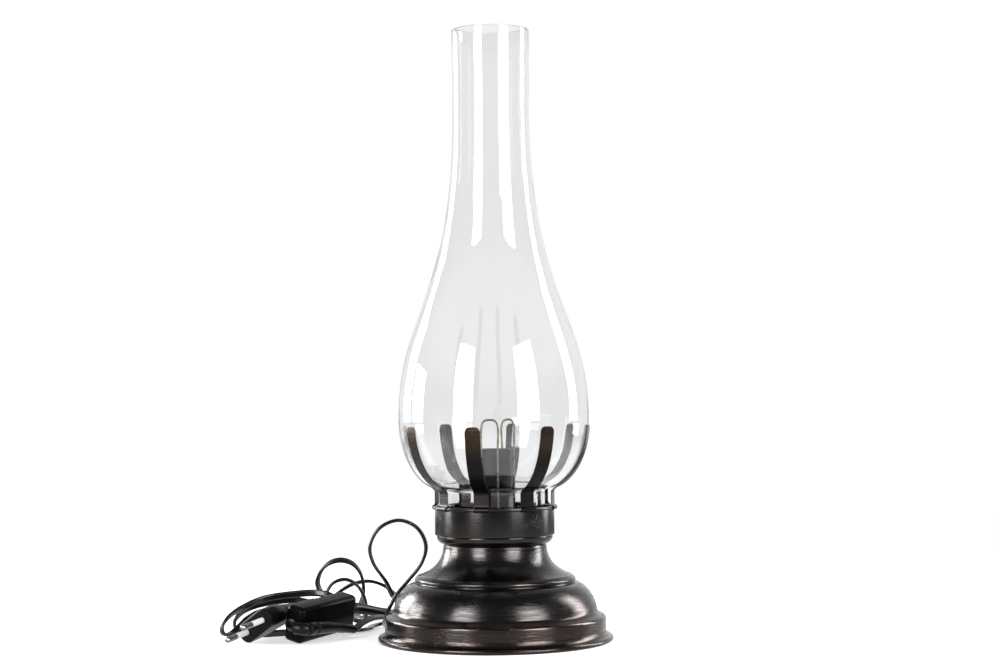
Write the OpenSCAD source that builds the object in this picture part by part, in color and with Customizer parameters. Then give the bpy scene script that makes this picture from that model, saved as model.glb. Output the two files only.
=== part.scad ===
// Electric table lamp in the style of an oil lamp: spun metal foot, spring gallery,
// clear glass chimney, candle lamp holder, flat flex with an inline switch and a two-pin plug.
// Millimetres, +Z up, origin on the table under the middle of the foot.

/* [Foot] */
// Outer radius of the rolled edge that stands on the table
foot_r = 77.7; // [75.5:0.1:90]
// Radius of the rolled edge itself
roll_r = 1.8; // [1.4:0.1:2.4]
// How far the rolled edge stands out past the upright skirt
flare_out = 4.8; // [4:0.1:6]
// Height at which the skirt begins to flare out to the rolled edge
flare_z = 8; // [6:0.5:10]
// Height at which the upright skirt ends
skirt_z = 14.6; // [13.5:0.1:16]
// Radius of the rounded corner over the skirt
corner_r = 2.4; // [1.5:0.1:3.5]
// Width of the shelf over the skirt, out to its edge
shelf_w = 5.7; // [4.5:0.1:8]
// Height of the dome where it meets that shelf
dome_foot_z = 20.5; // [19.5:0.1:23]
// Radius of the dome at the raised ring
dome_top_r = 52.2; // [49:0.1:54]
// Height of the dome at the raised ring
dome_top_z = 38.9; // [36:0.1:41]
// Height of the raised ring
ring_h = 3.4; // [2.4:0.1:4.4]
// How far the ring stands out
ring_out = 0.7; // [0.3:0.1:1.2]
// Radius of the neck
neck_r = 34; // [32:0.1:36]
// Height of the neck
neck_z = 64; // [60:0.5:70]
// Sheet thickness of the foot
foot_wall = 0.9; // [0.7:0.1:1.2]

/* [Underside] */
// Thickness of the felt pad
felt_t = 3; // [2:0.1:3.4]
// Thickness of the steel bottom plate
plate_t = 1.2; // [0.8:0.1:2]
// Radius of the cast weight
weight_r = 56; // [48:0.5:62]
// Thickness of the cast weight
weight_t = 10; // [7:0.5:11]
// Radius of the hole in the middle of the weight
weight_hole_r = 15; // [12:0.5:20]
// Width of the flex channel in the weight
channel_w = 10; // [8:0.5:14]
// Radius at which the weight's screws sit
weight_screw_at = 36; // [26:0.5:44]

/* [Fixings] */
// Outer radius of the threaded tube
tube_r = 5; // [4.5:0.1:5.5]
// Bore radius of the threaded tube
tube_bore_r = 3.6; // [3.2:0.1:3.8]
// How far the threaded tube reaches under the neck
tube_below = 8.5; // [7.5:0.5:14]
// Height of the locknuts
nut_h = 4; // [3:0.5:5]
// Width across the flats of the locknuts
nut_flats = 14; // [13:0.5:17]
// Thickness of the washers
washer_t = 1.2; // [0.8:0.1:1.6]
// Radius of the washers
washer_r = 11; // [9:0.5:14]

/* [Gallery] */
// Outer radius of the cup under the gallery band
cup_r = 38.2; // [37.6:0.1:38.6]
// Radius of the cup's rounded bottom
cup_corner_r = 5; // [3:0.5:7]
// Height of the visible lower part of the cup
cup_step_h = 5.8; // [5.2:0.1:7.2]
// Height of the whole cup
cup_h = 17.5; // [16:0.5:18.5]
// Sheet thickness of the cup
cup_wall = 0.8; // [0.6:0.1:1]
// Outer radius of the gallery band
band_r = 39.4; // [39.2:0.1:40]
// Sheet thickness of the gallery band
band_wall = 0.6; // [0.4:0.1:0.8]
// Height of the band up to the middle of its rolled rim
band_h = 18.1; // [16:0.1:20]
// Radius of the band's rolled rim
rim_r = 1.1; // [0.9:0.1:1.4]
// Turn of the first prong from the front, anticlockwise seen from above
prong_turn = 32.5; // [0:0.5:44]
// Width of a prong
prong_w = 10; // [8:0.5:12]
// Thickness of a prong
prong_t = 0.5; // [0.4:0.05:0.6]
// Height of the prong tips over the rolled rim
prong_h = 54; // [46:0.5:57]
// Clipped corners at the prong tips
prong_clip = 2.6; // [1:0.1:4]
// Thickness of the plate that the chimney stands on
seat_t = 0.8; // [0.6:0.1:1.2]
// Radius of the vent holes in that plate
vent_r = 3; // [2:0.1:3.4]

/* [Chimney] */
// Wall of the glass
glass_wall = 1.6; // [1.2:0.1:2.2]
// Outer radius of the chimney's foot
fitter_r = 33.35; // [32.5:0.05:33.6]
// Height of the chimney's foot, up to the belly
fitter_h = 17.2; // [16.5:0.1:18.5]
// Largest radius of the belly
belly_r = 62.8; // [58:0.1:66]
// Height from the bottom of the belly to its widest place
belly_h = 45.5; // [42:0.5:50]
// Outer radius of the slender upper part
throat_r = 25.3; // [23:0.1:27]
// Height from the widest place up to the start of the slender part
shoulder_h = 205; // [180:1:225]
// How long the belly stays full over its widest place
belly_pull = 72; // [60:1:84]
// How early the shoulder draws in to the slender part
throat_pull = 125; // [110:1:140]
// Height of the slender part
throat_h = 51; // [30:1:70]
// Outer radius at the top rim
top_r = 25.8; // [24:0.1:28]

/* [Lamp holder] */
// Outer radius of the lamp holder
holder_r = 12; // [11.6:0.1:12.3]
// Height of the holder's cap
cap_h = 14; // [12.5:0.5:15]
// Height of the holder's sleeve
sleeve_h = 42; // [39:0.5:45]
// Wall of the sleeve
sleeve_wall = 1.3; // [1:0.1:1.5]
// Bore radius of the brass screw shell
screw_shell_r = 6.95; // [6.8:0.05:7.1]
// Wall of the brass screw shell
screw_shell_wall = 0.6; // [0.4:0.05:0.8]
// Depth of the brass screw shell
screw_shell_h = 23; // [20:0.5:25]

/* [Wire loops] */
// Radius of the spring wire
wire_r = 0.7; // [0.5:0.05:0.9]
// Height of the loops over the chimney's plate
loop_h = 63; // [50:0.5:70]
// Width of the front loop
front_loop_w = 11; // [8:0.5:13]
// Width of the back loop
back_loop_w = 8; // [6:0.5:10]

/* [Flex] */
// Width of the flat twin flex
flex_w = 4.8; // [4:0.1:4.9]
// Thickness of the flat twin flex
flex_t = 2.3; // [1.9:0.1:2.6]
// Height of the flex outlet in the skirt
outlet_z = 11; // [10.8:0.1:11.2]
// Radius of the flex outlet in the skirt
outlet_r = 4.3; // [4:0.1:4.6]
// Length of the bushing outside the skirt
bushing_l = 24; // [20:0.5:30]

/* [Switch] */
// Length of the switch body
switch_l = 59.5; // [56:0.5:62]
// Thickness of the switch body
switch_t = 15; // [13:0.5:16]
// Width of the switch body
switch_w = 24.5; // [23:0.5:26]
// Wall of the switch shells
switch_wall = 1.6; // [1.2:0.1:2]
// Radius of the switch body's edges
switch_edge_r = 3.4; // [2.5:0.1:4]
// Length of the rocker
rocker_l = 15; // [12:0.5:17]
// Width of the rocker
rocker_w = 9; // [7:0.5:10]
// Tilt of the rocker to either side
rocker_tilt = 6; // [4:0.5:8]
// Radius of the boots at the switch
boot_r = 4.5; // [4.2:0.1:4.8]
// Radius of the boots at their tips
boot_tip_r = 2.7; // [2.6:0.1:3.1]

/* [Plug] */
// Width of the plug
plug_w = 35; // [33:0.5:36]
// Thickness of the plug
plug_t = 13.7; // [12:0.1:15]
// Length of the plug body
plug_l = 36; // [32:0.5:40]
// Radius of the pins
pin_r = 2; // [1.9:0.05:2.1]
// Length of the pins outside the plug
pin_l = 19; // [17:0.5:20]
// Distance between the pins
pin_gap = 18.6; // [17.5:0.1:19]
// Length of the insulating sleeves
pin_sleeve_l = 10; // [8:0.5:11]
// Length of the plug's boot
plug_boot_l = 21; // [18:0.5:24]

/* [Hidden] */
$fn = 96;

// Clearances
free = 0.3;
snug = 0.1;
fit = 0.05;

// Colours
bronze = [0.25, 0.22, 0.21];
dark_steel = [0.33, 0.32, 0.32];
black = [0.09, 0.09, 0.1];
brass = [0.72, 0.57, 0.3];
zinc = [0.66, 0.67, 0.68];

// Upright skirt, foot of the dome and bottom plate, all held by the outer radius of the foot
skirt_r = foot_r - flare_out;
dome_foot_r = skirt_r - shelf_w;
plate_r = skirt_r - foot_wall - free;

// Lower edge of the gallery cup, middle height of the rim and top of the chimney's plate
band_z = neck_z + cup_step_h;
rim_z = band_z + band_h;
seat_z = neck_z + cup_h + seat_t;
holder_z = neck_z + cup_wall + washer_t + nut_h + 0.2;
belly_z = seat_z + free + fitter_h + belly_h;

// Points of a curve pulled from a to d by b and c
function bend(a, b, c, d, n = 8) = [for (i = [0:n]) let (t = i / n, u = 1 - t)
  u * u * u * a + 3 * u * u * t * b + 3 * u * t * t * c + t * t * t * d];
// Points of an arc round a middle
function arc(m, r, from, to, n = 6) = [for (i = [0:n]) let (a = from + (to - from) * i / n)
  m + r * [cos(a), sin(a)]];
function flip(list) = [for (i = [len(list) - 1:-1:0]) list[i]];
function unit(v) = v / norm(v);
// A line of points moved sideways, to the left of its run
function beside(line, d) = [for (i = [0:len(line) - 1])
  let (t = unit(line[min(i + 1, len(line) - 1)] - line[max(i - 1, 0)]))
  line[i] + d * [-t[1], t[0]]];
// Sheet of even thickness along a line of points
function sheet(line, inner) = concat(line, flip(beside(line, inner)));

// Outline of the foot from the rolled edge to the neck
foot_line = concat(
  bend([foot_r - roll_r, 2 * roll_r - 0.1], [skirt_r + 1.4, 2 * roll_r], [skirt_r, flare_z - 2.5],
    [skirt_r, flare_z], 6),
  arc([skirt_r - corner_r, skirt_z], corner_r, 0, 72, 5),
  bend([dome_foot_r + 1.6, dome_foot_z - 2.2], [dome_foot_r + 0.6, dome_foot_z - 1.4],
    [dome_foot_r + 0.2, dome_foot_z - 0.8], [dome_foot_r, dome_foot_z], 3),
  bend([dome_foot_r - 0.2, dome_foot_z + 1], [dome_foot_r - 1.8, dome_foot_z + 10.5],
    [dome_top_r + 6.3, dome_top_z - 0.8], [dome_top_r + 0.2, dome_top_z - 0.1], 10),
  arc([dome_top_r - ring_out, dome_top_z + ring_h / 2], ring_h / 2, -62, 62, 5),
  bend([dome_top_r - 1.2, dome_top_z + ring_h + 1.1], [neck_r + 7, dome_top_z + 7.6],
    [neck_r + 0.6, neck_z - 11], [neck_r, neck_z - 1.5], 10),
  arc([neck_r - 1.2, neck_z - 1.2], 1.2, 20, 90, 3));

module base_shell() color(bronze) difference() {
  union() {
    rotate_extrude() polygon(sheet(concat(foot_line, [[tube_r + snug, neck_z]]), foot_wall));
    rotate_extrude() translate([foot_r - roll_r, roll_r]) circle(roll_r, $fn = 32);
  }
  translate([0, skirt_r - 6, outlet_z]) rotate([-90, 0, 0]) cylinder(r = outlet_r, h = 12, $fn = 48);
}

plate_z = felt_t;
weight_z = plate_z + plate_t;
weight_screw_r = 2;

module felt_pad() color([0.12, 0.14, 0.12])
  cylinder(r = foot_r - 2 * roll_r - free, h = felt_t);

module bottom_plate() color(dark_steel) difference() {
  translate([0, 0, plate_z]) cylinder(r = plate_r, h = plate_t);
  for (s = [-1, 1]) translate([s * weight_screw_at, 0, plate_z - 1])
    cylinder(r = weight_screw_r + fit, h = plate_t + 2, $fn = 32);
}

module cast_weight() color([0.2, 0.2, 0.21]) difference() {
  translate([0, 0, weight_z]) cylinder(r = weight_r, h = weight_t);
  translate([0, 0, weight_z - 1]) cylinder(r = weight_hole_r, h = weight_t + 2);
  translate([-channel_w / 2, 0, weight_z - 1]) cube([channel_w, weight_r + 5, weight_t + 2]);
  for (s = [-1, 1]) translate([s * weight_screw_at, 0, weight_z - 1])
    cylinder(r = weight_screw_r + fit, h = weight_t + 2, $fn = 32);
}

module weight_screws() color(zinc) for (s = [-1, 1]) translate([s * weight_screw_at, 0, 0]) {
  translate([0, 0, plate_z]) cylinder(r = weight_screw_r, h = plate_t + weight_t, $fn = 32);
  difference() {
    translate([0, 0, weight_z + weight_t]) cylinder(r = 2 * weight_screw_r, h = 2.6, $fn = 32);
    translate([-0.5, -5, weight_z + weight_t + 1.6]) cube([1, 10, 2]);
  }
}

tube_top = holder_z + 8;
tube_foot = neck_z - foot_wall - tube_below;

module threaded_tube() color(zinc) difference() {
  translate([0, 0, tube_foot]) cylinder(r = tube_r, h = tube_top - tube_foot, $fn = 64);
  translate([0, 0, tube_foot - 1]) cylinder(r = tube_bore_r, h = tube_top - tube_foot + 2, $fn = 64);
}

module washer(z) color(zinc) difference() {
  translate([0, 0, z]) cylinder(r = washer_r, h = washer_t, $fn = 64);
  translate([0, 0, z - 1]) cylinder(r = tube_r + fit, h = washer_t + 2, $fn = 64);
}

module locknut(z) color(brass) difference() {
  translate([0, 0, z]) cylinder(r = nut_flats / 2 / cos(30), h = nut_h, $fn = 6);
  translate([0, 0, z - 1]) cylinder(r = tube_r + fit, h = nut_h + 2, $fn = 64);
}

// Cup that carries the band; its upper wall stands inside the band
cup_in_r = band_r - band_wall - free - cup_wall - 0.2;
module gallery_cup() color(bronze) rotate_extrude() polygon(concat(
  [[tube_r + snug, neck_z]],
  arc([cup_r - cup_corner_r, neck_z + cup_corner_r], cup_corner_r, -90, 0, 6),
  [[cup_r, band_z], [cup_in_r + cup_wall, band_z], [cup_in_r + cup_wall, neck_z + cup_h],
    [cup_in_r, neck_z + cup_h]],
  flip(arc([cup_in_r - cup_corner_r + 1, neck_z + cup_corner_r + cup_wall - 1], cup_corner_r - 1, -90, 0, 6)),
  [[tube_r + snug, neck_z + cup_wall]]));

// Turns at which a punched dimple shows under the rim
dimple_turns = [-15, -63];
module gallery_band() color(bronze) {
  rotate_extrude() polygon([[cup_in_r + cup_wall + snug, band_z], [band_r - 0.5, band_z],
    [band_r, band_z + 0.5], [band_r, rim_z], [band_r - band_wall, rim_z],
    [band_r - band_wall, band_z + 0.7], [cup_in_r + cup_wall + snug, band_z + 0.7]]);
  rotate_extrude() translate([band_r + 0.2, rim_z]) circle(rim_r, $fn = 32);
  for (a = dimple_turns) rotate([0, 0, a]) translate([0, -band_r + 0.3, rim_z - 7])
    sphere(0.8, $fn = 24);
}

// Outer line of the glass from its foot to the top rim
belly_line = [for (i = [0:10]) let (a = 90 - 9 * i)
  [fitter_r + (belly_r - fitter_r) * cos(a), belly_z - belly_h * sin(a)]];
shoulder_line = bend([belly_r, belly_z], [belly_r, belly_z + belly_pull],
  [throat_r, belly_z + shoulder_h - throat_pull], [throat_r, belly_z + shoulder_h], 18);
top_z = belly_z + shoulder_h + throat_h;
glass_line = concat([[fitter_r, seat_z + free]],
  [[fitter_r, belly_z - belly_h - 2.2], [fitter_r + 0.4, belly_z - belly_h - 0.8],
    [fitter_r + 1.4, belly_z - belly_h - 0.1]],
  [for (i = [1:10]) belly_line[i]], [for (i = [1:18]) shoulder_line[i]],
  [[throat_r + 0.15, top_z - throat_h / 2], [top_r, top_z]]);

module glass_chimney() color([0.85, 0.88, 0.9, 0.35]) union() {
  rotate_extrude() polygon(sheet(glass_line, glass_wall));
  rotate_extrude() translate([top_r - glass_wall / 2, top_z]) circle(glass_wall / 2 + 0.1, $fn = 24);
}

// A prong hooks round the rolled rim, stands up and follows the belly of the glass
hook_r = rim_r + snug + prong_t / 2;
prong_x = band_r - 0.3;
prong_gap = free + prong_t / 2;
prong_belly = [for (p = beside(belly_line, -prong_gap)) if (p[0] > prong_x + 1.4 && p[1] < rim_z + prong_h) p];
prong_line = concat(flip(prong_belly),
  bend([prong_x + 1, prong_belly[0][1] - 1.1], [prong_x + 0.3, prong_belly[0][1] - 1.5],
    [prong_x, prong_belly[0][1] - 2], [prong_x, prong_belly[0][1] - 3], 3),
  bend([prong_x, rim_z + 2.6], [prong_x, rim_z + 1.8], [prong_x + 0.3, rim_z + hook_r + 0.04],
    [band_r + 0.4, rim_z + hook_r], 4),
  arc([band_r + 0.2, rim_z], hook_r, 70, -95, 10));

module prong(k) color(bronze) rotate([0, 0, prong_turn - 90 + 45 * (k - 1)]) intersection() {
  rotate([90, 0, 0]) linear_extrude(height = prong_w, center = true)
    polygon(concat(beside(prong_line, prong_t / 2), flip(beside(prong_line, -prong_t / 2))));
  rotate([90, 0, 90]) linear_extrude(height = 2 * belly_r)
    polygon([[-prong_w / 2, rim_z - 5], [prong_w / 2, rim_z - 5],
      [prong_w / 2, prong_line[0][1] - prong_clip], [prong_w / 2 - prong_clip, prong_line[0][1] + 1],
      [prong_clip - prong_w / 2, prong_line[0][1] + 1], [-prong_w / 2, prong_line[0][1] - prong_clip]]);
}

// Middles of the wire loops, seen from above
front_loop_at = [-2.9, -15.5];
back_loop_at = [9.5, 15];
vents = 8;
module chimney_seat() color(dark_steel) difference() {
  rotate_extrude() polygon([[holder_r + free, seat_z - seat_t], [band_r - band_wall - free, seat_z - seat_t],
    [band_r - band_wall - free, seat_z], [fitter_r + 1.6, seat_z], [fitter_r + 1.6, seat_z + 2.4],
    [fitter_r + 1, seat_z + 2.4], [fitter_r + 1, seat_z], [holder_r + free, seat_z]]);
  for (k = [0:vents - 1]) rotate([0, 0, (k + 0.5) * 360 / vents]) translate([26.5, 0, seat_z - 2])
    cylinder(r = vent_r, h = 4, $fn = 32);
  for (p = loop_feet(front_loop_at, front_loop_w)) translate([p[0], p[1], seat_z - 2])
    cylinder(r = wire_r + snug, h = 4, $fn = 24);
  for (p = loop_feet(back_loop_at, back_loop_w)) translate([p[0], p[1], seat_z - 2])
    cylinder(r = wire_r + snug, h = 4, $fn = 24);
}

function loop_feet(m, w) = [[m[0] - w / 2, m[1]], [m[0] + w / 2, m[1]]];
loop_bend_r = 3;
module wire_loop(m, w) color([0.45, 0.43, 0.36]) translate([m[0], m[1], seat_z]) {
  for (s = [-1, 1]) {
    translate([s * w / 2, 0, -seat_t - 2.4])
      cylinder(r = wire_r, h = loop_h - loop_bend_r + seat_t + 2.4, $fn = 24);
    translate([s * (w / 2 - loop_bend_r), 0, loop_h - loop_bend_r]) rotate([90, 0, 0])
      rotate([0, 0, s > 0 ? 0 : 90]) rotate_extrude(angle = 90) translate([loop_bend_r, 0])
        circle(wire_r, $fn = 24);
  }
  translate([-w / 2 + loop_bend_r, 0, loop_h]) rotate([0, 90, 0])
    cylinder(r = wire_r, h = w - 2 * loop_bend_r, $fn = 24);
}

sleeve_z = holder_z + cap_h;
sleeve_in_r = holder_r - sleeve_wall;
spigot_h = 4;
insert_z = sleeve_z + spigot_h + 0.2;
insert_top = sleeve_z + sleeve_h - 2;
pocket_z = insert_top - screw_shell_h - 1;

module holder_cap() color(black) rotate_extrude() polygon([
  [tube_r + fit, holder_z], [holder_r - 1, holder_z], [holder_r, holder_z + 1], [holder_r, sleeve_z],
  [sleeve_in_r - fit, sleeve_z], [sleeve_in_r - fit, sleeve_z + spigot_h],
  [sleeve_in_r - 1.2, sleeve_z + spigot_h], [sleeve_in_r - 1.2, holder_z + 9.5],
  [tube_r + 2.2, holder_z + 9.5], [tube_r + 2.2, holder_z + 8], [tube_r + fit, holder_z + 8]]);

module holder_sleeve() color(black) rotate_extrude() polygon([
  [sleeve_in_r, sleeve_z], [holder_r, sleeve_z], [holder_r, sleeve_z + sleeve_h - 0.8],
  [holder_r - 0.6, sleeve_z + sleeve_h], [sleeve_in_r - 0.5, sleeve_z + sleeve_h],
  [sleeve_in_r - 0.5, insert_top + 0.2], [sleeve_in_r, insert_top + 0.2]]);

module holder_insert() color([0.16, 0.15, 0.15]) difference() {
  translate([0, 0, insert_z]) cylinder(r = sleeve_in_r - snug, h = insert_top - insert_z, $fn = 64);
  translate([0, 0, pocket_z])
    cylinder(r = screw_shell_r + screw_shell_wall + fit, h = screw_shell_h + 5, $fn = 64);
  translate([0, 0, pocket_z - 2.4]) cylinder(r = 3.4 + fit, h = 5, $fn = 32);
  for (s = [-1, 1]) translate([s * 6, 0, insert_z - 1]) cylinder(r = 1.6 + fit, h = 4, $fn = 24);
}

module screw_shell() color(brass) difference() {
  translate([0, 0, pocket_z]) cylinder(r = screw_shell_r + screw_shell_wall, h = screw_shell_h, $fn = 64);
  translate([0, 0, pocket_z + 0.6]) cylinder(r = screw_shell_r, h = screw_shell_h, $fn = 64);
  translate([0, 0, pocket_z - 1]) cylinder(r = 4.6, h = 3, $fn = 48);
}

module centre_contact() color(brass) {
  translate([0, 0, pocket_z - 2.4]) cylinder(r = 3.4, h = 0.8, $fn = 32);
  translate([0, 0, pocket_z - 1.6]) cylinder(r1 = 2.6, r2 = 1.4, h = 2, $fn = 32);
}

module terminal_screws() color(brass) for (s = [-1, 1]) translate([s * 6, 0, 0]) {
  translate([0, 0, insert_z - 2.4]) cylinder(r = 2.4, h = 2.4, $fn = 24);
  translate([0, 0, insert_z - 0.5]) cylinder(r = 1.6, h = 3, $fn = 24);
}

module front_wire_loop() wire_loop(front_loop_at, front_loop_w);
module back_wire_loop() wire_loop(back_loop_at, back_loop_w);

// Flat flex swept along a route: each ring stands square to the route, with its wide side
// turned as the route says
side_shape = [[1, 0.36], [0.55, 1], [-0.55, 1], [-1, 0.36], [-1, -0.36], [-0.55, -1], [0.55, -1], [1, -0.36]];
round_shape = [for (i = [0:9]) [cos(36 * i), sin(36 * i)]];
function spot(p) = [p[0], p[1], p[2]];
function run_of(route, i, first, last) =
  i == 0 && first != undef ? first :
  i == len(route) - 1 && last != undef ? last :
  unit(spot(route[min(i + 1, len(route) - 1)]) - spot(route[max(i - 1, 0)]));
function ring(p, t, shape, w, h) =
  let (a = [cos(p[3]) * cos(p[4]), sin(p[3]) * cos(p[4]), sin(p[4])], s = unit(a - (a * t) * t), u = cross(t, s))
  [for (q = shape) spot(p) + w * q[0] * s + h * q[1] * u];
module swept(route, shape, w, h, first = undef, last = undef) {
  n = len(shape);
  m = len(route);
  rings = [for (i = [0:m - 1]) each ring(route[i], run_of(route, i, first, last), shape,
    is_list(w) ? w[i] : w, is_list(h) ? h[i] : h)];
  polyhedron(points = rings, faces = concat(
    [[for (k = [0:n - 1]) k]],
    [for (i = [0:m - 2], k = [0:n - 1]) [i * n + k, (i + 1) * n + k, i * n + (k + 1) % n]],
    [for (i = [0:m - 2], k = [0:n - 1]) [(i + 1) * n + k, (i + 1) * n + (k + 1) % n, i * n + (k + 1) % n]],
    [[for (k = [n - 1:-1:0]) (m - 1) * n + k]]), convexity = 10);
}

// Turns a piece's own point into the lamp's frame, as rotate() does
function turned(v, a) =
  let (x = [v[0], v[1] * cos(a[0]) - v[2] * sin(a[0]), v[1] * sin(a[0]) + v[2] * cos(a[0])],
    y = [x[0] * cos(a[1]) + x[2] * sin(a[1]), x[1], -x[0] * sin(a[1]) + x[2] * cos(a[1])])
  [y[0] * cos(a[2]) - y[1] * sin(a[2]), y[0] * sin(a[2]) + y[1] * cos(a[2]), y[2]];

// Route of the flex from the lamp to the switch: x, y, z, then the compass angle of its wide
// side and how far that side is tipped up
lamp_route = [[0, 97, 11, 0, 0], [-2, 109, 8.5, 25, 0], [-13, 116, 6.5, 80, 0], [-30, 108, 8, 120, 0],
  [-44, 91, 12, 140, 0], [-57, 68, 18, 155, 0], [-65, 46, 23, 150, 0], [-69, 27, 27, 130, 0],
  [-73, 14, 38, 105, 0], [-81, 9, 51, 93, 0], [-83, 8, 62, 90, 0], [-76.5, 8, 74, 90, 0],
  [-64, 10, 79, 90, 0], [-52, 12, 74, 88, 0], [-46, 14, 62, 84, 0], [-49, 15, 50, 82, 0],
  [-58.3, 15, 38, 78, 0], [-66, 13, 29, 79, 0], [-69.9, 12, 22, 80, 0], [-72.6, 17, 15.5, 80, 0],
  [-74.5, 27, 9.5, 100, 0], [-74, 40, 5, 135, 0], [-68, 52, 2.5, 148, 0], [-58, 66, 2, 144, 0],
  [-48, 79, 2, 149, 0], [-42, 93, 4, 167, 0], [-42, 105, 7, 206, 0], [-51, 111, 9, 270, 0],
  [-60, 104, 11, 325, 0], [-63, 92, 12, 345, 0], [-66, 80, 12, 342, 0], [-70, 70, 12, 333, 0],
  [-75, 62, 12, 325, 0]];
// Route of the flex from the switch to the plug
plug_route = [[-94, 16, 6, 150, 30], [-90, 25, 9, 150, 30], [-84, 36, 11, 150, 30],
  [-78, 47, 10.5, 150, 25], [-72, 56, 9, 160, 15], [-70, 66, 7, 185, 0], [-74, 75, 4, 235, 0],
  [-82, 75, 2, 300, 0], [-86, 66, 1.6, 345, 0], [-87, 56, 1.6, 342, 0], [-92, 48, 1.6, 315, 0],
  [-101, 43, 1.6, 288, 0], [-113, 40.5, 1.9, 280, 10], [-124, 37, 2.5, 290, 45], [-135, 31.5, 2.7, 298, 80],
  [-147, 25.5, 2.7, 292, 86], [-158, 22, 2.7, 280, 82], [-167, 22.5, 3, 265, 65], [-173.3, 26, 4.2, 262, 48],
  [-176, 28.6, 7.4, 275, 40], [-175.5, 27, 11.5, 288, 45],
  [-171.5, 29, 16.5, 286, 62], [-164, 35, 20, 300, 78], [-152, 44, 22, 300, 85],
  [-138, 51, 22.3, 300, 80], [-126, 57, 19.6, 305, 65], [-116, 64, 20.5, 310, 45],
  [-107, 71.5, 26.5, 310, 20], [-99, 77, 30.5, 305, 0], [-88, 83, 31.5, 295, 0], [-77, 87, 27, 292, 0],
  [-70, 93, 19, 320, 0], [-70, 102, 9, 0, 0], [-75, 112, 3, 42, 0], [-85, 118, 2, 90, 0],
  [-95, 112, 3, 140, 0], [-99, 101, 5, 160, 0], [-97, 90, 9, 148, 0], [-94, 79, 16, 125, 0],
  [-92, 71, 24, 105, 0], [-91.8, 68, 32, 98, 0], [-94, 67, 39.8, 94, 12], [-99.4, 66.5, 45.8, 90, 24],
  [-107.4, 66, 48, 84, 32], [-115.4, 66, 45.8, 74, 28], [-121.2, 66.5, 39.8, 66, 16],
  [-123.4, 67.5, 32, 62, 5], [-121.5, 69, 26, 62, 0], [-118, 71, 20, 66, 0], [-114.5, 70.5, 13, 84, 0],
  [-114, 65, 7, 115, 0], [-118.5, 57.5, 4.8, 130, 0], [-126, 51, 6, 128, 10], [-137, 45.5, 10.5, 122, 30],
  [-148, 38.5, 15, 128, 55], [-158, 30.5, 16.5, 130, 72], [-166, 23, 13, 132, 60],
  [-172, 17, 7.5, 130, 40], [-177, 12, 4, 122, 15], [-181, 8.8, 4.6, 118, -12], [-182, 8.5, 8.5, 118, -28],
  [-179.6, 12, 13.5, 120, -40], [-175.5, 18, 17.3, 125, -52], [-168, 26, 21.3, 130, -65],
  [-157, 34, 25, 130, -78], [-138, 41, 27.2, 120, -85], [-119, 47, 27, 290, -80],
  [-109, 52, 22.5, 294, -60], [-103, 60, 13, 300, -42], [-98, 69, 6, 303, -28], [-93, 71.5, 5, 300, -15],
  [-90, 67, 11, 290, 0], [-90, 62, 20, 282, 0], [-92.5, 60, 27, 280, 0], [-97.5, 59, 33, 276, 6],
  [-104, 58, 35.3, 275, 14], [-111.2, 57.3, 33.3, 278, 10], [-115.6, 56.4, 28.2, 284, 4],
  [-117, 53.3, 22, 290, 5], [-117.5, 47, 19.3, 300, 15], [-118.6, 38, 21, 308, 24],
  [-122.2, 28.9, 23, 312, 30]];
module lamp_flex() color(black) swept(lamp_route, side_shape, flex_w / 2, flex_t / 2,
  first = [0, 1, 0], last = far_end);
module plug_flex() color(black) swept(plug_route, side_shape, flex_w / 2, flex_t / 2,
  first = near_end, last = turned([-1, 0, 0], plug_turn));

// Bushing in the skirt, with its flex running on inside the foot and up the tube
bushing_y = skirt_r + bushing_l + 0.1;
module flex_bushing() color(black) translate([0, bushing_y, outlet_z]) rotate([90, 0, 0]) difference() {
  rotate_extrude($fn = 48) polygon([[0, 0], [2.9, 0], [4.2, bushing_l - 3.2], [outlet_r + 0.9, bushing_l - 2.6],
    [outlet_r + 0.9, bushing_l - 0.6], [outlet_r - snug, bushing_l - 0.6], [outlet_r - snug, bushing_l + 1.6],
    [outlet_r + 0.6, bushing_l + 1.6], [outlet_r + 0.6, bushing_l + 4], [0, bushing_l + 4]]);
  for (k = [0:3]) translate([0, 0, 4 + 4 * k]) rotate_extrude($fn = 48)
    translate([3.6 + 0.25 * k, 0]) square([2, 1.4]);
}

inner_route = [[0, bushing_y - bushing_l - 4, outlet_z, 0, 0], [0, 40, outlet_z, 0, 0],
  [0, 20, outlet_z, 0, 0], [0, 10, outlet_z + 2.5, 0, 0], [0, 3, outlet_z + 8, 0, 0],
  [0, 0, outlet_z + 18, 0, 0], [0, 0, tube_foot, 0, 0], [0, 0, tube_top, 0, 0], [0, 0, sleeve_z - 1, 0, 0]];
module inner_flex() color([0.5, 0.36, 0.3]) swept(inner_route, side_shape, flex_w / 2, flex_t / 2,
  first = [0, -1, 0], last = [0, 0, 1]);
module inner_leads() color([0.2, 0.3, 0.6]) for (s = [-1, 1]) swept(
  [[s * 1.3, 0, sleeve_z - 1, 90, 0], [s * 1.6, 0, sleeve_z - 0.2, 90, 0], [s * 4, 0, sleeve_z + 1, 90, 0],
    [s * 6, 0, insert_z - 2.4, 90, 0]], round_shape, 0.7, 0.7, first = [0, 0, 1], last = [0, 0, 1]);

// Switch: its own frame runs along the body, through its thickness and up its width
switch_turn = [12, -3.8, 57];
switch_at = [-132.4, -14.5, 13];
switch_mid = [0, switch_t / 2, switch_w / 2];
module on_switch() translate(switch_at) rotate(switch_turn) translate(-switch_mid) children();
function at_switch(p) = switch_at + turned(p - switch_mid, switch_turn);

near_end = unit(spot(plug_route[1]) - spot(plug_route[0]));
far_end = unit(at_switch([switch_l, switch_t / 2, switch_w / 2]) - spot(lamp_route[len(lamp_route) - 1]));

split_y = 6;
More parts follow.
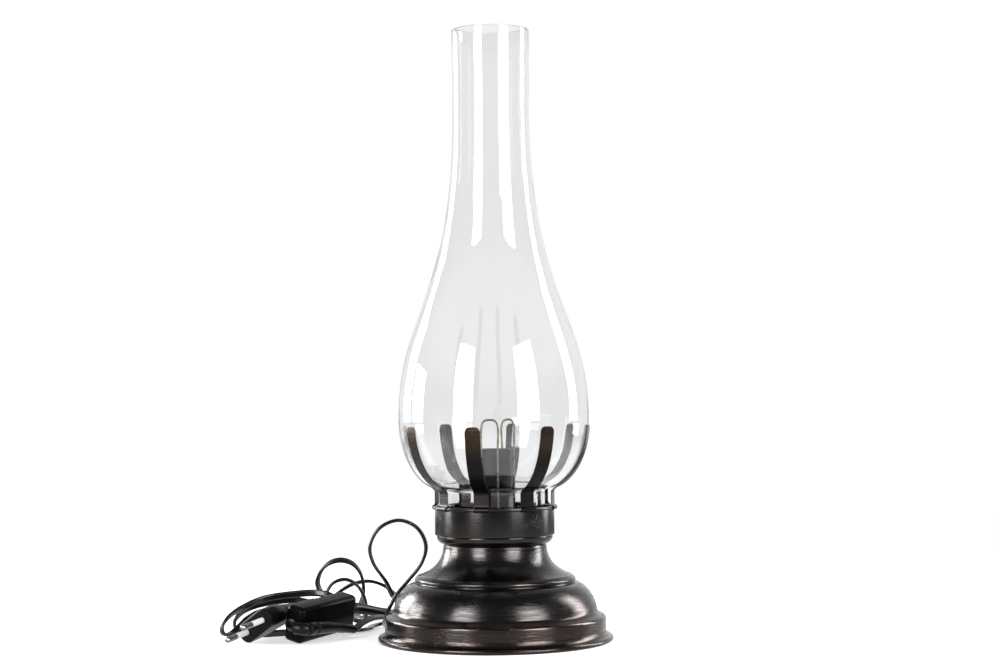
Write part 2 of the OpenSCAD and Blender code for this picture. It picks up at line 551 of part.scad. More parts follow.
// Rounded rectangle, and a block that is rounded in all three views
function soft_rect(a, b, r) = concat(arc([a - r, b - r], r, 0, 90, 5), arc([r, b - r], r, 90, 180, 5),
  arc([r, r], r, 180, 270, 5), arc([a - r, r], r, 270, 360, 5));
module rounded_box(l, t, w, r) intersection() {
  linear_extrude(height = w) polygon(soft_rect(l, t, r));
  translate([0, t, 0]) rotate([90, 0, 0]) linear_extrude(height = t) polygon(soft_rect(l, w, r));
  rotate([90, 0, 90]) linear_extrude(height = l) polygon(soft_rect(t, w, r));
}
module switch_hollow() translate([switch_wall, switch_wall, switch_wall])
  rounded_box(switch_l - 2 * switch_wall, switch_t - 2 * switch_wall, switch_w - 2 * switch_wall,
    switch_edge_r - switch_wall);
boot_hole_r = 3.1;
module boot_holes() for (x = [-1, switch_l - 5]) translate([x, switch_t / 2, switch_w / 2])
  rotate([0, 90, 0]) cylinder(r = boot_hole_r, h = 6, $fn = 32);
screw_spots = [9, switch_l - 9];

module switch_base() color(black) on_switch() difference() {
  union() {
    difference() {
      intersection() {
        rounded_box(switch_l, switch_t, switch_w, switch_edge_r);
        cube([switch_l, split_y, switch_w]);
      }
      switch_hollow();
    }
    for (x = screw_spots, z = [5, switch_w - 5]) if ((x < switch_l / 2) == (z < switch_w / 2))
      translate([x, 0.8, z]) rotate([-90, 0, 0]) cylinder(r = 2.6, h = split_y - 0.8, $fn = 24);
  }
  boot_holes();
  for (x = screw_spots, z = [5, switch_w - 5]) if ((x < switch_l / 2) == (z < switch_w / 2))
    translate([x, -1, z]) rotate([-90, 0, 0]) cylinder(r = 1.3, h = split_y + 2, $fn = 24);
}

rocker_x = switch_l / 2;
pivot_y = switch_t - 3.2;
pivot_r = 1.2;
module switch_cover() color(black) on_switch() difference() {
  union() {
    difference() {
      intersection() {
        rounded_box(switch_l, switch_t, switch_w, switch_edge_r);
        translate([0, split_y, 0]) cube([switch_l, switch_t, switch_w]);
      }
      switch_hollow();
    }
    for (x = screw_spots, z = [5, switch_w - 5]) if ((x < switch_l / 2) == (z < switch_w / 2))
      translate([x, split_y, z]) rotate([-90, 0, 0]) cylinder(r = 2.6, h = switch_t - split_y - 1, $fn = 24);
    for (z = [switch_w / 2 - rocker_w / 2 - 3, switch_w / 2 + rocker_w / 2 + 0.6])
      translate([rocker_x - 3, pivot_y - 2.4, z]) cube([6, switch_t - pivot_y + 1.4, 2.4]);
  }
  translate([rocker_x - rocker_l / 2 - 0.7, pivot_y - 0.5, switch_w / 2 - rocker_w / 2 - free])
    cube([rocker_l + 1.4, 10, rocker_w + 2 * free]);
  translate([rocker_x, pivot_y, switch_w / 2 - rocker_w / 2 - 3.2])
    cylinder(r = pivot_r + fit, h = rocker_w + 6.4, $fn = 32);
  boot_holes();
  for (x = screw_spots, z = [5, switch_w - 5]) if ((x < switch_l / 2) == (z < switch_w / 2))
    translate([x, split_y - 1, z]) rotate([-90, 0, 0]) cylinder(r = 1 + fit, h = 5.2, $fn = 24);
}

module on_rocker() on_switch() translate([rocker_x, pivot_y, 0]) rotate([0, 0, rocker_tilt])
  translate([-rocker_x, -pivot_y, 0]) children();
module switch_rocker() color([0.13, 0.13, 0.14]) on_rocker() {
  translate([0, 0, switch_w / 2 - rocker_w / 2]) linear_extrude(height = rocker_w) polygon([
    [rocker_x - rocker_l / 2, pivot_y + 0.4], [rocker_x - 3, pivot_y - 2], [rocker_x + 3, pivot_y - 2],
    [rocker_x + rocker_l / 2, pivot_y + 0.4], [rocker_x + rocker_l / 2, switch_t + 1.2],
    [rocker_x + rocker_l / 4, switch_t + 0.5], [rocker_x, switch_t + 0.3],
    [rocker_x - rocker_l / 4, switch_t + 0.5], [rocker_x - rocker_l / 2, switch_t + 1.2]]);
  translate([rocker_x, pivot_y, switch_w / 2 - rocker_w / 2 - 2.6])
    cylinder(r = pivot_r, h = rocker_w + 5.2, $fn = 32);
}
module switch_bridge() color([0.75, 0.45, 0.3]) on_rocker()
  translate([rocker_x - 7, pivot_y - 3, switch_w / 2 - 2]) cube([14, 0.8, 4]);
module switch_contacts() color(brass) on_switch() for (x = [12, switch_l - 22]) {
  translate([x, switch_wall, switch_w / 2 - 3]) cube([10, 1, 6]);
  translate([x < switch_l / 2 ? x + 9 : x, switch_wall + 1, switch_w / 2 - 2]) cube([1, 2.4, 4]);
}
module switch_screws() color(zinc) on_switch()
  for (x = screw_spots, z = [5, switch_w - 5]) if ((x < switch_l / 2) == (z < switch_w / 2))
    translate([x, 0.6, z]) rotate([-90, 0, 0]) cylinder(r = 1, h = split_y + 3.4, $fn = 24);

// Boots: the far one is straight, the near one is folded back along the body
far_run = bend(at_switch([switch_l + 1.5, switch_t / 2, switch_w / 2]),
  at_switch([switch_l + 12, switch_t / 2, switch_w / 2]), spot(lamp_route[32]) + 12 * far_end,
  spot(lamp_route[32]), 12);
far_path = concat([for (x = [-switch_wall, 0.1, 0.1]) at_switch([switch_l + x, switch_t / 2, switch_w / 2])],
  far_run);
far_r = concat([boot_hole_r - fit, boot_hole_r - fit, boot_r],
  [for (i = [0:12]) boot_r - (boot_r - boot_tip_r) * i / 12 - (i == 2 ? 0.5 : 0)]);
module switch_far_boot() color(black) swept([for (p = far_path) [p[0], p[1], p[2], 142, 0]],
  round_shape, far_r, far_r, first = turned([1, 0, 0], switch_turn), last = -far_end);
near_path = concat(
  [for (p = [[switch_wall, 0, 0], [0, 0, 0], [0, 0, 0], [-2, 0, 0], [-2.1, 0, 0], [-3.6, -1.3, 0],
    [-4.5, -4, 0.2], [-4.6, -6.3, 0.4], [-4.6, -6.4, 0.4], [-3.8, -9.4, 0.7], [-2, -11.6, 0.7],
    [-0.3, -12.3, 0.6], [-0.2, -12.3, 0.6], [0.6, -12.4, 0.5], [0.7, -12.4, 0.5], [6.9, -12.5, -0.1],
    [7, -12.5, -0.1], [7.8, -12.6, -0.2], [7.9, -12.6, -0.2], [21, -13.5, -1.7], [34, -14.7, -3.9]])
    at_switch(p + switch_mid)], [spot(plug_route[0])]);
near_r = [boot_hole_r - fit, boot_hole_r - fit, 4.4, 4.4, 2.7, 2.7, 2.7, 2.7, 4.1, 4.1, 4.1, 4.1, 3.5, 3.5,
  boot_r, boot_r, 4.1, 4.1, 4.4, 3.9, 3.3, boot_tip_r];
module switch_near_boot() color(black) swept([for (p = near_path) [p[0], p[1], p[2], 142, 0]],
  round_shape, near_r, near_r, first = turned([-1, 0, 0], switch_turn), last = near_end);

// Plug: its own frame runs from its face to its boot
plug_turn = [-30, -10.7, 51.3];
plug_flex_end = spot(plug_route[len(plug_route) - 1]);
module on_plug() translate(plug_flex_end) rotate(plug_turn) translate([-plug_l - plug_boot_l, 0, 0]) children();
plug_end_r = plug_t / 2;
module plug_body() color(black) on_plug() difference() {
  union() {
    hull() {
      for (s = [-1, 1]) translate([0.8, s * (plug_w / 2 - plug_end_r), 0]) rotate([0, 90, 0])
        cylinder(r = plug_end_r, h = 9, $fn = 32);
      for (s = [-1, 1]) translate([0, s * (plug_w / 2 - plug_end_r), 0]) rotate([0, 90, 0])
        cylinder(r = plug_end_r - 0.8, h = 9, $fn = 32);
      translate([plug_l - 4, 0, 0]) rotate([0, 90, 0]) cylinder(r = 5.4, h = 4, $fn = 32);
    }
  }
  for (s = [-1, 1]) translate([-1, s * pin_gap / 2, 0]) rotate([0, 90, 0])
    cylinder(r = pin_r, h = 10, $fn = 32);
}
sleeve_r = pin_r - 0.1;
core_r = 1.5;
module plug_pins() color([0.7, 0.7, 0.68]) on_plug() for (s = [-1, 1]) translate([0, s * pin_gap / 2, 0])
  rotate([0, 90, 0]) rotate_extrude($fn = 32) polygon([[0, -pin_l], [pin_r - 0.9, -pin_l],
    [pin_r - 0.25, -pin_l + 0.5], [pin_r, -pin_l + 1.2], [pin_r, -pin_sleeve_l - 0.05],
    [core_r - fit, -pin_sleeve_l - 0.05], [core_r - fit, 3], [pin_r - fit, 3], [pin_r - fit, 8.8], [0, 8.8]]);
module plug_pin_sleeves() color([0.95, 0.95, 0.94]) on_plug() for (s = [-1, 1])
  translate([0, s * pin_gap / 2, 0]) rotate([0, 90, 0]) rotate_extrude($fn = 32)
    polygon([[core_r, -pin_sleeve_l], [sleeve_r, -pin_sleeve_l], [sleeve_r, 2.9], [core_r, 2.9]]);
module plug_boot() color(black) on_plug() translate([plug_l, 0, 0]) rotate([0, 90, 0]) difference() {
  rotate_extrude($fn = 40) polygon([[0, 0], [5, 0], [4.8, 2], [2.9, plug_boot_l - 0.6],
    [2.5, plug_boot_l], [0, plug_boot_l]]);
  for (k = [0:3]) translate([0, 0, 3.5 + 3.4 * k]) rotate_extrude($fn = 40)
    translate([3.7 - 0.32 * k, 0]) square([2, 1.1]);
}

base_shell();
bottom_plate();
felt_pad();
cast_weight();
weight_screws();
threaded_tube();
washer(neck_z - foot_wall - washer_t);  // lower_washer
locknut(neck_z - foot_wall - washer_t - nut_h);  // lower_locknut
washer(neck_z + cup_wall);  // upper_washer
locknut(neck_z + cup_wall + washer_t);  // upper_locknut
gallery_cup();
gallery_band();
for (k = [1:8]) prong(k);
chimney_seat();
glass_chimney();
holder_cap();
holder_sleeve();
holder_insert();
screw_shell();
centre_contact();
terminal_screws();
front_wire_loop();
back_wire_loop();
flex_bushing();
inner_flex();
inner_leads();
lamp_flex();
plug_flex();
switch_base();
switch_cover();
switch_rocker();
switch_bridge();
switch_contacts();
switch_screws();
switch_near_boot();
switch_far_boot();
plug_body();
plug_boot();
plug_pins();
plug_pin_sleeves();
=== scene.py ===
import math

import bmesh
import bpy
import numpy as np
from mathutils import Euler, Matrix, Vector


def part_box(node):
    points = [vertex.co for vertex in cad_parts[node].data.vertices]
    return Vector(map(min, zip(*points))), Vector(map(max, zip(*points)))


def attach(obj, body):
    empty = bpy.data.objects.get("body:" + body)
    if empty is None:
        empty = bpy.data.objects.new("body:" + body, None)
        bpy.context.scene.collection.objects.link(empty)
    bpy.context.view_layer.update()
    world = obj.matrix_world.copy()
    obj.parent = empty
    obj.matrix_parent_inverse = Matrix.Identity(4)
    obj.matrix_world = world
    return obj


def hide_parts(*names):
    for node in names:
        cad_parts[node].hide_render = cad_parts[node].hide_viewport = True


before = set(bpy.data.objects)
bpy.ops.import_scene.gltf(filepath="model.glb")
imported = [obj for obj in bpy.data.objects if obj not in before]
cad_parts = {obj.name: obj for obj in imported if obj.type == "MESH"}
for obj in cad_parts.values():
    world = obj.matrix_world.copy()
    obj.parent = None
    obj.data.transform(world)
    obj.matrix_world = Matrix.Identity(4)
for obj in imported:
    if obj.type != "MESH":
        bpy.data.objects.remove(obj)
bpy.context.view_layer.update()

# Foot. One steel sheet spun over a former: rolled edge, upright skirt, narrow shelf, dome, raised
# ring and flared neck. It is lacquered dark bronze; lighter lines on its edges are partly lacquer thinned brown
# by use and partly painted highlight.
mm = 0.001
foot_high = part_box("base_shell")[1]
foot_r = foot_high.x
neck_z = foot_high.z
roll_r = 1.8 * mm
skirt_r = 72.9 * mm
flare_z = 8 * mm
skirt_z = 14.6 * mm
corner_r = 2.4 * mm
dome_foot_r = 67.2 * mm
dome_foot_z = 20.5 * mm
dome_top_r = 52.2 * mm
dome_top_z = 38.9 * mm
ring_h = 3.4 * mm
ring_out = 0.7 * mm
neck_r = 34 * mm
foot_wall = 0.9 * mm
tube_r = 5 * mm
# Dark, brown and edge tones of the lacquer; the edge tone stands partly for wear and partly for painted
# highlight.
bronze = ((0.04, 0.038, 0.038, 1), (0.052, 0.039, 0.033, 1), (0.072, 0.058, 0.05, 1))
prong_tones = ((0.012, 0.0098, 0.0092, 1), (0.024, 0.016, 0.012, 1), (0.1, 0.064, 0.04, 1))
# Darker copy of the prong tones for the prongs' inward faces: painted shade, not another finish.
shaded_side_tones = ((0.0025, 0.0022, 0.0022, 1), (0.0045, 0.0035, 0.003, 1), (0.009, 0.0066, 0.005, 1))
turns = 240


def pair(x, y):
    return Vector((x, y))


def bend(a, b, c, d, steps=24):
    """Points of a curve pulled from a to d by b and c."""
    line = []
    for i in range(steps + 1):
        t = i / steps
        u = 1 - t
        line.append(a * u**3 + b * 3 * u * u * t + c * 3 * u * t * t + d * t**3)
    return line


def arc(middle, r, start, stop, steps=12):
    """Points of an arc, with its angles in degrees."""
    angles = [math.radians(start + (stop - start) * i / steps) for i in range(steps + 1)]
    return [middle + r * pair(math.cos(a), math.sin(a)) for a in angles]


def beside(line, gap):
    """A line of points moved sideways, to the left of its run."""
    moved = []
    for i, point in enumerate(line):
        run = (line[min(i + 1, len(line) - 1)] - line[max(i - 1, 0)]).normalized()
        moved.append(point + gap * pair(-run.y, run.x))
    return moved


def sheet(line, thickness):
    """Closed outline of a sheet of even thickness along a line of points."""
    return line + beside(line, thickness)[::-1]


def meshed(name, points, faces, sharp=40):
    """An object from points and faces, smooth but for edges sharper than so many degrees."""
    mesh = bpy.data.meshes.new(name)
    mesh.from_pydata([tuple(p) for p in points], [], faces)
    shape = bmesh.new()
    shape.from_mesh(mesh)
    bmesh.ops.remove_doubles(shape, verts=shape.verts, dist=1e-6)
    bmesh.ops.recalc_face_normals(shape, faces=shape.faces)
    shape.to_mesh(mesh)
    shape.free()
    mesh.shade_smooth()
    mesh.set_sharp_from_angle(angle=math.radians(sharp))
    made = bpy.data.objects.new(name, mesh)
    bpy.context.scene.collection.objects.link(made)
    return made


def revolved(name, outline, steps=turns, place=Matrix(), sharp=40):
    """A closed outline of radius and height turned round the upright axis."""
    points = []
    faces = []
    n = len(outline)
    for k in range(steps):
        a = 2 * math.pi * k / steps
        points += [place @ Vector((r * math.cos(a), r * math.sin(a), z)) for r, z in outline]
        for i in range(n):
            ring = (k * n + i, k * n + (i + 1) % n)
            after = [(j + n) % (steps * n) for j in ring]
            faces.append((*ring, after[1], after[0]))
    return meshed(name, points, faces, sharp)


class Wire:
    """A socket in a shader tree: sums on it add Math nodes, and node() adds any other node."""

    def __init__(self, tree, socket=None):
        self.tree = tree
        self.socket = socket

    def node(self, kind, settings=(), values=(), out=0):
        made = self.tree.nodes.new("ShaderNode" + kind)
        for name, value in dict(settings).items():
            setattr(made, name, value)
        for name, value in dict(values).items():
            if isinstance(value, Wire):
                self.tree.links.new(value.socket, made.inputs[name])
            else:
                made.inputs[name].default_value = value
        return Wire(self.tree, made.outputs[out])

    def maths(self, operation, *terms):
        return self.node("Math", {"operation": operation}, dict(enumerate(terms)))

    def __add__(self, other):
        return self.maths("ADD", self, other)

    __radd__ = __add__

    def __sub__(self, other):
        return self.maths("SUBTRACT", self, other)

    def __rsub__(self, other):
        return self.maths("SUBTRACT", other, self)

    def __mul__(self, other):
        return self.maths("MULTIPLY", self, other)

    __rmul__ = __mul__

    def __truediv__(self, other):
        return self.maths("DIVIDE", self, other)

    def __rtruediv__(self, other):
        return self.maths("DIVIDE", other, self)

    def between(self, low, high):
        """0 up to low, 1 from high on, and a soft step between them."""
        values = {"From Min": low, "From Max": high, "Value": self}
        return self.node("MapRange", {"interpolation_type": "SMOOTHSTEP"}, values)

    def colour(self, a, b):
        """Colour a where this is 0, colour b where it is 1."""
        return self.node("Mix", {"data_type": "RGBA"}, {0: self, 6: a, 7: b}, 2)

    def place(self):
        """The point on the surface, in metres in the lamp's frame."""
        return self.node("TexCoord", out="Object")

    def times(self, factors):
        """This vector, with each part multiplied by its own factor."""
        return self.node("VectorMath", {"operation": "MULTIPLY"}, {0: self, 1: factors})

    def length(self):
        return self.node("VectorMath", {"operation": "LENGTH"}, {0: self}, "Value")

    def parts(self):
        return [self.node("SeparateXYZ", values={0: self}, out=k) for k in range(3)]

    def noise(self, scale, detail=2.0, rough=0.5):
        """Noise at this vector."""
        values = {"Vector": self, "Scale": scale, "Detail": detail, "Roughness": rough}
        return self.node("TexNoise", values=values)

    def near(self, spot, reach):
        """1 at a spot on the surface and 0 from reach on."""
        apart = self.node("VectorMath", {"operation": "DISTANCE"}, {0: self, 1: spot}, "Value")
        return 1 - apart.between(0.3 * reach, reach)

    def bump(self, height, strength, depth):
        """The normal of a surface with this height."""
        values = {"Height": height, "Strength": strength, "Distance": depth}
        return self.node("Bump", values=values, out="Normal")


def finish(name):
    """A new material, and a wire from which its tree grows."""
    material = bpy.data.materials.new(name)
    material.use_nodes = True
    return material, Wire(material.node_tree)


def coated(material, values):
    """Gives the material's shader its values and links."""
    shader = material.node_tree.nodes["Principled BSDF"]
    for name, value in values.items():
        if isinstance(value, Wire):
            material.node_tree.links.new(value.socket, shader.inputs[name])
        else:
            shader.inputs[name].default_value = value
    return material


def spun_lines(place, coarse=850, fine=2600):
    """Lines left by the spinning tool, which run round the piece."""
    x, y, z = place.parts()
    climb = z - place.times((1, 1, 0)).length()
    row = place.node("CombineXYZ", values={0: x * 55, 1: y * 55, 2: climb * coarse})
    hair = place.node("CombineXYZ", values={0: x * 90, 1: y * 90, 2: climb * fine})
    return row.noise(1, 3, 0.6), hair.noise(1, 2, 0.5)


def lacquered(name, brown=0.35, edges=(), scuffs=(), brown_under=0, tones=bronze, dull=0.07, lined=1):
    """Dark, brown lacquer with lighter lines along edges, partly lacquer thinned by use and partly painted
    highlight. An edge is its height and how far its line reaches.
    """
    dark, browned, worn_and_highlight = tones
    material, start = finish(name)
    place = start.place()
    lines, hairs = spun_lines(place)
    cloud = place.noise(26, 4, 0.6)
    low = 1 - place.parts()[2].between(brown_under - 2 * mm, brown_under + 1 * mm)
    patina = (cloud + (brown - 0.5) * 0.7 + low * 0.3).between(0.36, 0.7)
    tone = patina.colour(dark, browned)
    wear_and_highlight = 0
    # Lines along the given edges: partly wear of the lacquer, partly painted highlight.
    for height, reach in edges:
        offset = place.parts()[2] - height
        wear_and_highlight = wear_and_highlight + (1 - offset.maths("ABSOLUTE", offset).between(0.2 * reach, reach))
    speck = 0
    for *spot, reach in scuffs:
        speck = speck + place.near(spot, reach)
    chips = place.noise(900, 3, 0.7).between(0.55, 0.62)
    rubbed_and_highlight = wear_and_highlight * (cloud + lines * 0.8).between(0.62, 0.95) * 0.5
    tone = rubbed_and_highlight.colour(tone, worn_and_highlight)
    rows = lines.between(0.42, 0.6) * lined
    tone = (rows * 0.45).colour(tone, tuple(0.35 * part for part in dark[:3]) + (1,))
    marks = place.noise(420, 4, 0.7).between(0.66, 0.72) * cloud.between(0.5, 0.66) + speck * chips
    tone = (marks * 0.7).colour(tone, (0.009, 0.0078, 0.0075, 1))
    wobble = place.noise(38, 2)
    height = lines * 1.6 * lined + hairs * 0.4 * lined + wobble * 3 - marks * 0.5
    return coated(material, {
        "Base Color": tone,
        "Metallic": 1,
        "Roughness": dull + rows * 0.16 + cloud * 0.06 + marks * 0.3,
        "Coat Weight": 0.15 - rubbed_and_highlight * 0.1,
        "Coat Roughness": 0.36,
        "Normal": start.bump(height, 0.6, 0.00016),
    })


def fitted(piece, body, slot, *nodes):
    """The piece rides on a body and stands for these nodes. The slot is not used."""
    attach(piece, body)
    if nodes:
        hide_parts(*nodes)
    return piece


skirt_foot = bend(pair(foot_r - roll_r, 2 * roll_r - 0.1 * mm), pair(skirt_r + 1.4 * mm, 2 * roll_r),
                  pair(skirt_r, flare_z - 2.5 * mm), pair(skirt_r, flare_z), 14)
shelf_corner = arc(pair(skirt_r - corner_r, skirt_z), corner_r, 0, 72, 12)
dome_root = bend(pair(dome_foot_r + 1.6 * mm, dome_foot_z - 2.2 * mm),
                 pair(dome_foot_r + 0.6 * mm, dome_foot_z - 1.4 * mm),
                 pair(dome_foot_r + 0.2 * mm, dome_foot_z - 0.8 * mm),
                 pair(dome_foot_r, dome_foot_z), 6)
dome = bend(pair(dome_foot_r - 0.2 * mm, dome_foot_z + 1 * mm),
            pair(dome_foot_r - 1.8 * mm, dome_foot_z + 10.5 * mm),
            pair(dome_top_r + 6.3 * mm, dome_top_z - 0.8 * mm),
            pair(dome_top_r + 0.2 * mm, dome_top_z - 0.1 * mm), 40)
ring = arc(pair(dome_top_r - ring_out, dome_top_z + ring_h / 2), ring_h / 2, -62, 62, 14)
neck = bend(pair(dome_top_r - 1.2 * mm, dome_top_z + ring_h + 1.1 * mm),
            pair(neck_r + 7 * mm, dome_top_z + 7.6 * mm),
            pair(neck_r + 0.6 * mm, neck_z - 11 * mm), pair(neck_r, neck_z - 1.5 * mm), 36)
neck_edge = arc(pair(neck_r - 1.2 * mm, neck_z - 1.2 * mm), 1.2 * mm, 20, 90, 6)
foot_line = skirt_foot + shelf_corner + dome_root + dome + ring + neck + neck_edge
foot = revolved("foot", sheet(foot_line + [pair(tube_r, neck_z)], foot_wall))
rolled_edge = revolved("foot_rolled_edge", arc(pair(foot_r - roll_r, roll_r), roll_r, 0, 345, 23))
# Edges with lines that are partly wear and partly painted highlight: shelf edge, ring, dome top, neck top and
# rolled edge.
foot_wear_and_highlight = [(skirt_z + 1.9 * mm, 1.3 * mm), (dome_top_z + 0.7 * ring_h, 1.1 * mm),
             (dome_top_z - 0.4 * mm, 0.8 * mm), (neck_z - 1.5 * mm, 2.5 * mm), (2.8 * mm, 1.2 * mm)]
foot_scuffs = [(-0.033, -0.065, 0.0075, 0.011), (-0.02, -0.071, 0.007, 0.008),
               (0.026, -0.027, 0.056, 0.006), (-0.012, -0.061, 0.031, 0.006)]
for piece in (foot, rolled_edge):
    foot_bronze = lacquered("bronze_" + piece.name, 0.34, foot_wear_and_highlight, foot_scuffs, dome_foot_z)
    piece.data.materials.append(foot_bronze)
fitted(foot, "lamp", "lacquered_bronze", "base_shell")
fitted(rolled_edge, "lamp", "lacquered_bronze")

# Underside. A stamped steel plate closes the foot, a cast iron weight is screwed to it from above,
# and a green felt pad is glued under it.


def redone(node, material):
    """Gives a CAD node a better material."""
    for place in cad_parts[node].material_slots:
        place.material = material


def steel(name, tone, rough, grain=160, metal=1.0):
    """Plated or rolled metal with soft clouds and fine scratches."""
    material, start = finish(name)
    place = start.place()
    cloud = place.noise(grain, 4, 0.6)
    scratch = place.times((900, 70, 900)).noise(1, 2)
    dull = tuple(0.6 * part for part in tone) + (1,)
    return coated(material, {
        "Base Color": cloud.between(0.3, 0.75).colour(dull, (*tone, 1)),
        "Metallic": metal,
        "Roughness": rough + (cloud - 0.5) * 0.3 + (scratch - 0.5) * 0.12,
        "Normal": start.bump(cloud * 0.6 + scratch * 0.4, 0.3, 0.0001),
    })


def felted(name, tone):
    """Pressed felt: short crossed hairs over soft clouds."""
    material, start = finish(name)
    place = start.place()
    hair = place.times((1500, 500, 1500)).noise(1, 3, 0.7)
    hair = hair + place.times((500, 1500, 1500)).noise(1, 3, 0.7)
    cloud = place.noise(60, 3)
    pale = tuple(1.9 * part for part in tone) + (1,)
    return coated(material, {
        "Base Color": (hair * 0.4 + cloud * 0.3).between(0.35, 0.75).colour((*tone, 1), pale),
        "Roughness": 0.95,
        "Sheen Weight": 0.4,
        "Normal": start.bump(hair, 0.7, 0.0004),
    })


zinc = steel("zinc_plate", (0.55, 0.56, 0.57), 0.36)
brass = steel("brass", (0.68, 0.5, 0.22), 0.3)
redone("felt_pad", felted("green_felt", (0.018, 0.034, 0.024)))
redone("bottom_plate", steel("dark_steel", (0.13, 0.125, 0.125), 0.42))
redone("cast_weight", steel("cast_iron", (0.07, 0.07, 0.073), 0.62, 500, 0.8))
redone("weight_screws", zinc)

# Fixings. A threaded steel tube runs up the middle and clamps foot, cup and lamp holder together
# between washers and brass nuts. The flex runs up inside it.
for node in ("threaded_tube", "lower_washer", "upper_washer"):
    redone(node, zinc)
for node in ("lower_locknut", "upper_locknut"):
    redone(node, brass)

# Gallery cup and band. A pressed cup stands on the neck, and a band with a rolled rim is pushed
# over it. Both are lacquered as the foot is. Two punched dimples show under the rim.
cup_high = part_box("gallery_cup")[1]
band_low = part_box("gallery_band")[0]
band_z = band_low.z
cup_r = 38.2 * mm
cup_in_r = 37.1 * mm
cup_corner_r = 5 * mm
cup_wall = 0.8 * mm
band_r = 39.4 * mm
band_wall = 0.6 * mm
rim_z = band_z + 18.1 * mm
rim_r = 1.1 * mm
dimple_turns = (-15, -63)
dimple_r = 1.2 * mm
dimple_z = rim_z - 7 * mm

cup_outside = arc(pair(cup_r - cup_corner_r, neck_z + cup_corner_r), cup_corner_r, -90, 0, 14)
cup_step = arc(pair(cup_r - 0.4 * mm, band_z - 0.4 * mm), 0.4 * mm, 0, 90, 4)
cup_inside = arc(pair(cup_in_r + 1 * mm - cup_corner_r - cup_wall, neck_z + cup_corner_r),
                 cup_corner_r - cup_wall, -90, 0, 14)
cup = revolved("gallery_cup_spun", [pair(tube_r, neck_z)] + cup_outside + cup_step
               + [pair(cup_in_r + cup_wall, band_z), pair(cup_in_r + cup_wall, cup_high.z),
                  pair(cup_in_r, cup_high.z)] + cup_inside[::-1] + [pair(tube_r, neck_z + cup_wall)])
cup.data.materials.append(lacquered("bronze_cup", 0.4, [(band_z - 0.3 * mm, 0.9 * mm)], dull=0.12, lined=0.4))
fitted(cup, "lamp", "lacquered_bronze", "gallery_cup")

band_foot = arc(pair(band_r - 0.7 * mm, band_z + 0.7 * mm), 0.7 * mm, -90, 0, 6)
band_outline = ([pair(cup_in_r + cup_wall, band_z)] + band_foot
                + [pair(band_r, rim_z), pair(band_r - band_wall, rim_z),
                   pair(band_r - band_wall, band_z + 0.7 * mm), pair(cup_in_r + cup_wall, band_z + 0.7 * mm)])
band = revolved("gallery_band_rolled", band_outline)
rim = revolved("gallery_rim", arc(pair(band_r + 0.2 * mm, rim_z), rim_r, -175, 170, 23))
band_scuffs = [(0.027, -0.029, 0.0795, 0.007), (0.02, -0.034, 0.078, 0.004)]
for piece in (band, rim):
    # Band foot and rim top get lines that are partly wear and partly painted highlight.
    worn_and_highlight = [(band_z + 0.5 * mm, 0.9 * mm), (rim_z + rim_r, 0.7 * mm)]
    band_bronze = lacquered("bronze_" + piece.name, 0.3, worn_and_highlight, band_scuffs, dull=0.14, lined=0.2)
    piece.data.materials.append(band_bronze)
fitted(band, "lamp", "lacquered_bronze", "gallery_band")
fitted(rim, "lamp", "lacquered_bronze")
for k, compass in enumerate(dimple_turns):
    outward = Matrix.Rotation(math.radians(compass - 90), 4, "Z")
    seat = outward @ Matrix.Translation((band_r - 0.2 * mm, 0, dimple_z))
    seat = seat @ Matrix.Rotation(math.radians(90), 4, "Y")
    cap = [pair(0, 0)] + [pair(dimple_r, 0)] + bend(pair(dimple_r, 0.15 * mm), pair(0.8 * mm, 0.2 * mm),
                                                 pair(0.7 * mm, 0.75 * mm), pair(0, 0.8 * mm), 8)
    dimple = revolved(f"gallery_dimple_{k + 1}", cap, 24, seat)
    dimple.data.materials.append(band.data.materials[0])
    fitted(dimple, "lamp", "lacquered_bronze")

# Prongs. Eight strips of spring steel hook round the rolled rim, stand up past the foot of the
# glass and follow its belly. They are lacquered brown, their inward faces are painted darker as
# shade, and their tips are cut round.
glass_low, glass_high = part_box("glass_chimney")
fitter_r = 33.35 * mm
belly_r = 62.8 * mm
belly_foot_z = glass_low.z + 17.2 * mm
belly_z = belly_foot_z + 45.5 * mm
prong_turn = 32.5
prong_w = 10 * mm
prong_t = 0.5 * mm
prong_top = rim_z + 54 * mm
prong_tip = 3.4 * mm
hook_r = rim_r + 0.1 * mm + prong_t / 2
prong_x = band_r - 0.3 * mm


def belly_line(steps):
    """Outer line of the glass from the foot of the belly to its widest place."""
    angles = [math.radians(90 - 90 * i / steps) for i in range(steps + 1)]
    wide = belly_r - fitter_r
    high = belly_z - belly_foot_z
    return [pair(fitter_r + wide * math.cos(a), belly_z - high * math.sin(a)) for a in angles]


def spaced(line, stations):
    """Points of a line at distances along it."""
    rows = np.array([tuple(p) for p in line])
    run = np.concatenate([[0], np.cumsum(np.linalg.norm(np.diff(rows, axis=0), axis=1))])
    return np.stack([np.interp(stations, run, column) for column in rows.T], axis=1)


def line_length(line):
    return float(np.linalg.norm(np.diff(np.array([tuple(p) for p in line]), axis=0), axis=1).sum())


